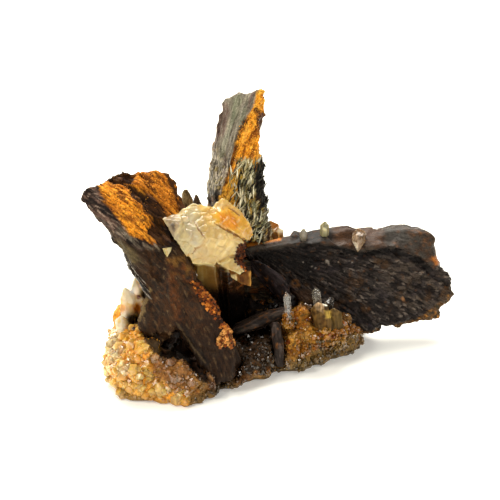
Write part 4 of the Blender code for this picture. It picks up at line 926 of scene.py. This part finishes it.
def crystals(place, axis, radius, length, rng, sink=0.35, taper=0.9, point=0.5):
    """Six-sided crystals with pyramid tips, one at each place: points and triangles."""
    count = len(place)
    side, across = sides_of(axis, rng)
    radius, length = radius[:, None], length[:, None]
    squash = 0.75 + 0.5 * rng.random((count, 1))
    rings = []
    for share, width in ((-sink, 0.9), (1.0 - point, taper)):
        for i in range(6):
            a = i * math.pi / 3
            jog = 1.0 + 0.22 * (rng.random((count, 1)) - 0.5)
            lean = share + (0.16 * (rng.random((count, 1)) - 0.5) if share > 0 else 0)
            rings.append(place + axis * length * lean + (side * math.cos(a) * squash + across * math.sin(a)) * radius * width * jog)
    tip = place + axis * length + (side * (rng.random((count, 1)) - 0.5) + across * (rng.random((count, 1)) - 0.5)) * radius * 0.7
    verts = np.stack(rings + [tip], axis=1)
    tris = []
    for i in range(6):
        j = (i + 1) % 6
        tris += [(i, j, 6 + j), (i, 6 + j, 6 + i), (6 + i, 6 + j, 12)]
    tris = np.array(tris)
    return verts.reshape(-1, 3), (tris[None] + 13 * np.arange(count)[:, None, None]).reshape(-1, 3)


def grains(place, normal, radius, rng):
    """Angular crumbs of eight faces."""
    count = len(place)
    side, across = sides_of(normal, rng)
    r = radius[:, None]
    def jog():
        return 0.65 + 0.7 * rng.random((count, 1))
    verts = np.stack([place + normal * r * jog(), place - normal * r * 0.6, place + side * r * jog(), place - side * r * jog(), place + across * r * jog(), place - across * r * jog()], axis=1)
    tris = np.array([(0, 2, 4), (0, 4, 3), (0, 3, 5), (0, 5, 2), (1, 4, 2), (1, 3, 4), (1, 5, 3), (1, 2, 5)])
    return verts.reshape(-1, 3), (tris[None] + 6 * np.arange(count)[:, None, None]).reshape(-1, 3)


def slivers(place, along, normal, length, width, rng, thick=0.07, tilt=0.18):
    """Thin splinters that lie along the grain and lift off a little at one end."""
    count = len(place)
    along = along - normal * (along * normal).sum(axis=1)[:, None]
    along /= np.linalg.norm(along, axis=1)[:, None] + 1e-9
    across = np.cross(normal, along)
    l, w = length[:, None], width[:, None]
    rise = tilt * rng.random((count, 1))
    low = place - along * l * 0.5 - normal * 0.05
    high = place + along * l * 0.5 + normal * l * rise
    mid = (low + high) / 2 + normal * thick
    verts = np.stack([low, mid + across * w * 0.5, mid - across * w * 0.5, high + across * w * 0.12, high - across * w * 0.12, mid - normal * thick * 2.0], axis=1)
    tris = np.array([(0, 1, 2), (1, 3, 2), (2, 3, 4), (0, 5, 1), (0, 2, 5), (1, 5, 3), (5, 4, 3), (2, 4, 5)])
    return verts.reshape(-1, 3), (tris[None] + 6 * np.arange(count)[:, None, None]).reshape(-1, 3)


def each(values, per):
    return np.repeat(values, per, axis=0)


def above_foot(mid, normal):
    return (mid[:, 2] > 0.35) * (normal[:, 2] > -0.5)


rng = np.random.default_rng(11)
LEFT_LUMP = [(98, 300), (150, 296), (160, 330), (176, 352), (196, 378), (190, 412), (98, 412)]

def bare_left(mid):
    """Where the clear crystals on the left edge stand free of the druse."""
    return (1 - ramp(mid[:, 1], -1.8, -1.0)) * region([(108, 262), (142, 262), (147, 300), (147, 326), (122, 330), (108, 330)], on_picture(mid), 2)


# large blocky crystals of the left lump and here and there on the rest
def on_left(mid, normal):
    at = on_picture(mid)
    return above_foot(mid, normal) * region(LEFT_LUMP, at, 4) * (1 - shaded_hollow(mid)) * (1 - bare_left(mid)) * (1 - region(LEG_TIP, at, 1.5) * (mid[:, 1] < -1.5))


place, normal = scatter(rock, rock_faces, rock_normals, rng, 900, on_left)
axis = normal + rng.normal(size=normal.shape) * 0.55
axis /= np.linalg.norm(axis, axis=1)[:, None]
size = 0.24 + 0.70 * rng.random(len(place)) ** 2.2
verts, tris = crystals(place - normal * size[:, None] * 0.42, axis, size, size * (0.9 + 0.9 * rng.random(len(place))), rng, 0.7, 0.9, 0.45)
tint = druse_colour(place, 700, normal @ -FORWARD) * (0.85 + 0.25 * rng.random((len(place), 1)))
# painted shade and highlight: each crystal's foot ring is darker and its tip paler than its shoulders
tint = np.stack([tint * np.array([0.72, 0.62, 0.48])] * 6 + [tint] * 6 + [tint + (1 - tint) * np.array([0.2, 0.12, 0.10])], axis=1).reshape(-1, 3)
add_piece("druse_left", verts, tris, GLOW, (), tint, flat=True)


def elsewhere(mid, normal):
    lump = region(LEFT_LUMP, on_picture(mid), 4)
    return above_foot(mid, normal) * (1 - 0.9 * lump) * (1 - 0.8 * in_cavity(mid, normal @ -FORWARD)) * (1 - bare_left(mid)) * (1 - shaded_hollow(mid))


place, normal = scatter(rock, rock_faces, rock_normals, rng, 5600, elsewhere)
axis = normal + rng.normal(size=normal.shape) * 0.35
axis /= np.linalg.norm(axis, axis=1)[:, None]
size = 0.13 + 0.30 * rng.random(len(place)) ** 2.2
verts, tris = crystals(place - normal * 0.05, axis, size, size * (1.0 + 0.9 * rng.random(len(place))), rng, 0.6, 0.92, 0.45)
tint = each(druse_colour(place, 700, normal @ -FORWARD) * (0.72 + 0.5 * rng.random((len(place), 1))), 13)
add_piece("druse_small", verts, tris, SUGAR, (), tint, flat=True)

# the hill's crystals also cover the feet of the olive crystals and of the front needle
def foot_druse(name, top, bottom, count):
    points, faces = skin([name], 0.09, 1)
    place, normal = scatter(points, faces, normals(points, faces), rng, count, lambda mid, normal: ramp(on_picture(mid)[1], top, bottom))
    axis = normal + rng.normal(size=normal.shape) * 0.5 + np.array([0, -0.3, 0.4])
    axis /= np.linalg.norm(axis, axis=1)[:, None]
    size = 0.12 + 0.26 * rng.random(count) ** 1.6
    verts, tris = crystals(place, axis, size, size * (1.0 + 0.9 * rng.random(count)), rng, 0.5, 0.92, 0.45)
    tint = each(druse_colour(place, 700, normal @ -FORWARD) * (0.72 + 0.5 * rng.random((count, 1))), 13)
    add_piece("druse_on_" + name, verts, tris, SUGAR, (), tint, flat=True)


foot_druse("olive_crystal", 326, 334, 420)
foot_druse("needle_front", 312, 316, 130)

place, normal = scatter(rock, rock_faces, rock_normals, rng, 9000, lambda mid, normal: above_foot(mid, normal) * (1 - 0.8 * shaded_hollow(mid)))
size = 0.07 + 0.13 * rng.random(len(place)) ** 2
verts, tris = grains(place, normal, size, rng)
tint = each(druse_colour(place, 720, normal @ -FORWARD) * (0.6 + 0.7 * rng.random((len(place), 1))), 6)
add_piece("druse_grains", verts, tris, ROCK, (), tint, flat=True)

# crumbly limonite crust beside the right leg of the crossed blades
CRUST = [(192, 282), (208, 290), (216, 300), (227, 309), (240, 313), (249, 326), (243, 334), (233, 339), (234, 345), (220, 348), (215, 340), (222, 332), (214, 316), (204, 306), (196, 295)]
points, faces = crossed
n = normals(points, faces)
place, normal = scatter(points, faces, n, rng, 1100, lambda mid, normal: region(CRUST, on_picture(mid), 2.0) * (normal @ -FORWARD > -0.1))
size = 0.10 + 0.26 * rng.random(len(place)) ** 2
verts, tris = grains(place, normal, size, rng)
shade = np.clip(rng.random(len(place)) * 0.6 + 0.12 + cloud(place / 1.1, 2, 801) * 1.1 + 0.25 * region([(214, 328), (234, 326), (234, 348), (216, 348)], on_picture(place), 3), 0, 1)
tint = paint(np.tile(rgb(122, 60, 18), (len(place), 1)), ramp(shade, 0.55, 1.0), rgb(206, 128, 44))
tan = region([(214, 330), (234, 328), (234, 348), (216, 348)], on_picture(place), 3)
tint = paint(tint, tan * ramp(shade, 0.4, 0.9) * 0.8, rgb(214, 158, 88))
tint = paint(tint, (1 - tan) * ramp(shade, 0.7, 1.0) * 0.5, rgb(150, 84, 34))
tint = paint(tint, ramp(shade, 0.45, 0.15), rgb(36, 20, 12))
add_piece("limonite_crust", verts, tris, ROCK, (), each(tint, 6), flat=True)

# rusty crumbs between the cream quartz and the right-hand blade
skin_points, skin_faces = cream_group
place, normal = scatter(skin_points, skin_faces, normals(skin_points, skin_faces), rng, 640, lambda mid, normal: region(RUSTY, on_picture(mid), 1.4) * (normal @ -FORWARD > -0.2))
size = 0.10 + 0.22 * rng.random(len(place)) ** 2
verts, tris = grains(place, normal, size, rng)
shade = np.clip(rng.random(len(place)) * 0.8 + cloud(place / 0.9, 2, 811) * 0.6, 0, 1)
tint = paint(np.tile(rgb(78, 36, 10), (len(place), 1)), ramp(shade, 0.55, 1.0), rgb(176, 94, 24))
tint = paint(tint, ramp(shade, 0.35, 0.1), rgb(24, 13, 8))
add_piece("rust_on_quartz", verts, tris, ROCK, (), each(tint, 6), flat=True)

# thin plates, pale and dark, stacked along the left edge of the crossed blades
PLATE_SIDE = [(76, 204), (90, 212), (102, 228), (114, 242), (128, 260), (142, 280), (149, 296), (140, 296), (124, 276), (106, 250), (90, 230), (74, 212)]
place, normal = scatter(points, faces, n, rng, 700, lambda mid, normal: region(PLATE_SIDE, on_picture(mid), 2.0) * (normal @ -FORWARD > 0.05))
count = len(place)
column, row = on_picture(place)
way = np.stack([-(row - LEFT_CENTRE[1]), column - LEFT_CENTRE[0]], axis=1)
way /= np.linalg.norm(way, axis=1)[:, None]
along = way[:, :1] * np.array([1.0, 0.0, 0.0]) - way[:, 1:] * UPWARD
verts, tris = slivers(place, along, normal, 0.8 + 1.2 * rng.random(count), 0.06 + 0.12 * rng.random(count), rng, 0.04, 0.07)
shade = rng.random(count)
tint = paint(np.tile(rgb(44, 31, 24), (count, 1)), ramp(shade, 0.84, 0.9), rgb(150, 140, 126))
tint = paint(tint, ramp(shade, 0.55, 0.4), rgb(8, 5, 5))
lay = each(np.stack([place @ UPWARD, place[:, 0], place[:, 1]], axis=1), 6)
add_piece("plates_left", verts, tris, SIDERITE, (), each(tint, 6), lay, np.full(len(verts), 0.7), flat=True)

# orange grains on the broken end faces
place, normal = scatter(points, faces, n, rng, 900, lambda mid, normal: region([(98, 181), (131, 170), (160, 167), (176, 178), (186, 205), (160, 212), (145, 228), (128, 214), (100, 194)], on_picture(mid), 2.0) * (1 - region(RIDGE, on_picture(mid), 2)) * (1 - 0.9 * region(CLEFT, on_picture(mid), 2)) * (1 - region(RIM, on_picture(mid), 1.6)) * (normal @ -FORWARD > 0.0))
size = 0.04 + 0.07 * rng.random(len(place)) ** 2
verts, tris = grains(place, normal, size, rng)
shade = rng.random(len(place))
tint = paint(np.tile(rgb(206, 122, 28), (len(place), 1)), ramp(shade, 0.4, 1.0), rgb(242, 172, 60))
tint = paint(tint, ramp(shade, 0.35, 0.0), rgb(112, 60, 22))
add_piece("limonite_grains_left", verts, tris, ROCK, (), each(tint, 6), flat=True)

points, faces = tall
n = normals(points, faces)
ORANGE_SIDE = [(259, 96), (266, 90), (264, 110), (258, 116), (261, 150), (258, 170), (246, 158), (234, 170), (228, 188), (240, 126), (248, 115)]
place, normal = scatter(points, faces, n, rng, 900, lambda mid, normal: region(ORANGE_SIDE, on_picture(mid), 1.5) * (normal @ -FORWARD > 0.0))
size = 0.04 + 0.07 * rng.random(len(place)) ** 2
verts, tris = grains(place, normal, size, rng)
shade = rng.random(len(place))
tint = paint(np.tile(rgb(224, 138, 30), (len(place), 1)), ramp(shade, 0.4, 1.0), rgb(246, 182, 70))
tint = paint(tint, ramp(shade, 0.3, 0.0), rgb(150, 80, 20))
add_piece("limonite_grains_tall", verts, tris, ROCK, (), each(tint, 6), flat=True)

# splinters on the tall blade's lower right side
SHINGLE_SIDE = [(236, 162), (250, 160), (262, 158), (270, 175), (272, 238), (240, 240), (232, 205), (230, 180)]
def up_grain(place, pole, sign=1.0):
    at = on_picture(place)
    d = np.stack([at[0] - pole[0], at[1] - pole[1]], axis=1)
    d /= np.linalg.norm(d, axis=1)[:, None]
    return sign * (d[:, :1] * np.array([1.0, 0, 0]) - d[:, 1:] * UPWARD)


place, normal = scatter(points, faces, n, rng, 520, lambda mid, normal: region(SHINGLE_SIDE, on_picture(mid), 2.0) * (normal @ -FORWARD > -0.5))
count = len(place)
verts, tris = slivers(place, up_grain(place, (225, 420)), normal, 0.9 + 1.7 * rng.random(count), 0.18 + 0.22 * rng.random(count), rng)
shade = rng.random(count)
tint = paint(np.tile(rgb(118, 118, 90), (count, 1)), ramp(shade, 0.5, 0.8), rgb(224, 218, 188))
tint = paint(tint, ramp(shade, 0.45, 0.15), rgb(26, 21, 18))
tint = paint(tint, ramp(np.abs(shade - 0.6), 0.06, 0.0) * 0.8, rgb(204, 160, 66))
shadowed = region([(256, 160), (270, 160), (270, 203), (263, 208), (255, 202)], on_picture(place), 2)
tint = paint(tint, shadowed * 0.95, rgb(8, 6, 5))
along = each(np.stack([place @ UPWARD, place[:, 0], place[:, 1]], axis=1), 6)
add_piece("splinters_tall", verts, tris, SIDERITE, (), each(tint, 6), along, each(0.6 - 0.6 * shadowed, 6), flat=True)

# ---------------------------------------------------------------- floor, light and camera
floor_mat, nodes, links, shader = new_material("floor_white")
shader.inputs["Base Color"].default_value = (0.86, 0.86, 0.80, 1)
shader.inputs["Roughness"].default_value = 0.9
shader.inputs["Emission Color"].default_value = (1.0, 1.0, 0.97, 1)
shader.inputs["Emission Strength"].default_value = 0.28
shader.inputs["Specular IOR Level"].default_value = 0.1
mesh = bpy.data.meshes.new("floor")
mesh.from_pydata([(-3, -3, -0.0002), (3, -3, -0.0002), (3, 3, -0.0002), (-3, 3, -0.0002)], [], [(0, 1, 2, 3)])
floor = bpy.data.objects.new("floor", mesh)
bpy.context.scene.collection.objects.link(floor)
mesh.materials.append(floor_mat)
floor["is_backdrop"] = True

world = bpy.data.worlds.new("studio")
bpy.context.scene.world = world
world.use_nodes = True
world.node_tree.nodes["Background"].inputs["Color"].default_value = (1.0, 0.97, 0.92, 1)
world.node_tree.nodes["Background"].inputs["Strength"].default_value = 0.22


def softbox(name, place, target, size, power):
    light = bpy.data.lights.new(name, "AREA")
    light.shape = "RECTANGLE"
    light.size, light.size_y = size
    light.energy = power
    light.color = (1.0, 0.955, 0.88)
    made = bpy.data.objects.new(name, light)
    bpy.context.scene.collection.objects.link(made)
    made.location = place
    from mathutils import Vector
    made.rotation_mode = "QUATERNION"
    made.rotation_quaternion = (Vector(target) - Vector(place)).to_track_quat("-Z", "Y")
    return made


softbox("top_light", (-0.06, 0.40, 0.58), (0, 0, 0.01), (0.70, 0.55), 13.5)
softbox("left_light", (-0.42, -0.40, 0.52), (0, 0, 0.015), (0.40, 0.40), 4.2)
softbox("right_light", (0.50, -0.35, 0.36), (0, 0, 0.015), (0.30, 0.30), 1.2)

from mathutils import Vector

camera = bpy.data.cameras.new("camera")
camera.sensor_width = 36.0
camera.lens = 36.0 * (DISTANCE * MM) / (500.0 / PX * MM)
camera.clip_start, camera.clip_end = 0.05, 20.0
eye = bpy.data.objects.new("camera", camera)
bpy.context.scene.collection.objects.link(eye)
eye.location = Vector((CAMERA * MM).tolist())
eye.rotation_mode = "QUATERNION"
eye.rotation_quaternion = Vector(FORWARD.tolist()).to_track_quat("-Z", "Y")
scene = bpy.context.scene
scene.camera = eye
scene.view_settings.view_transform = "Standard"
scene.view_settings.look = "None"
scene.cycles.max_bounces = 10
scene.cycles.transmission_bounces = 8
scene.cycles.transparent_max_bounces = 8

low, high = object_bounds()
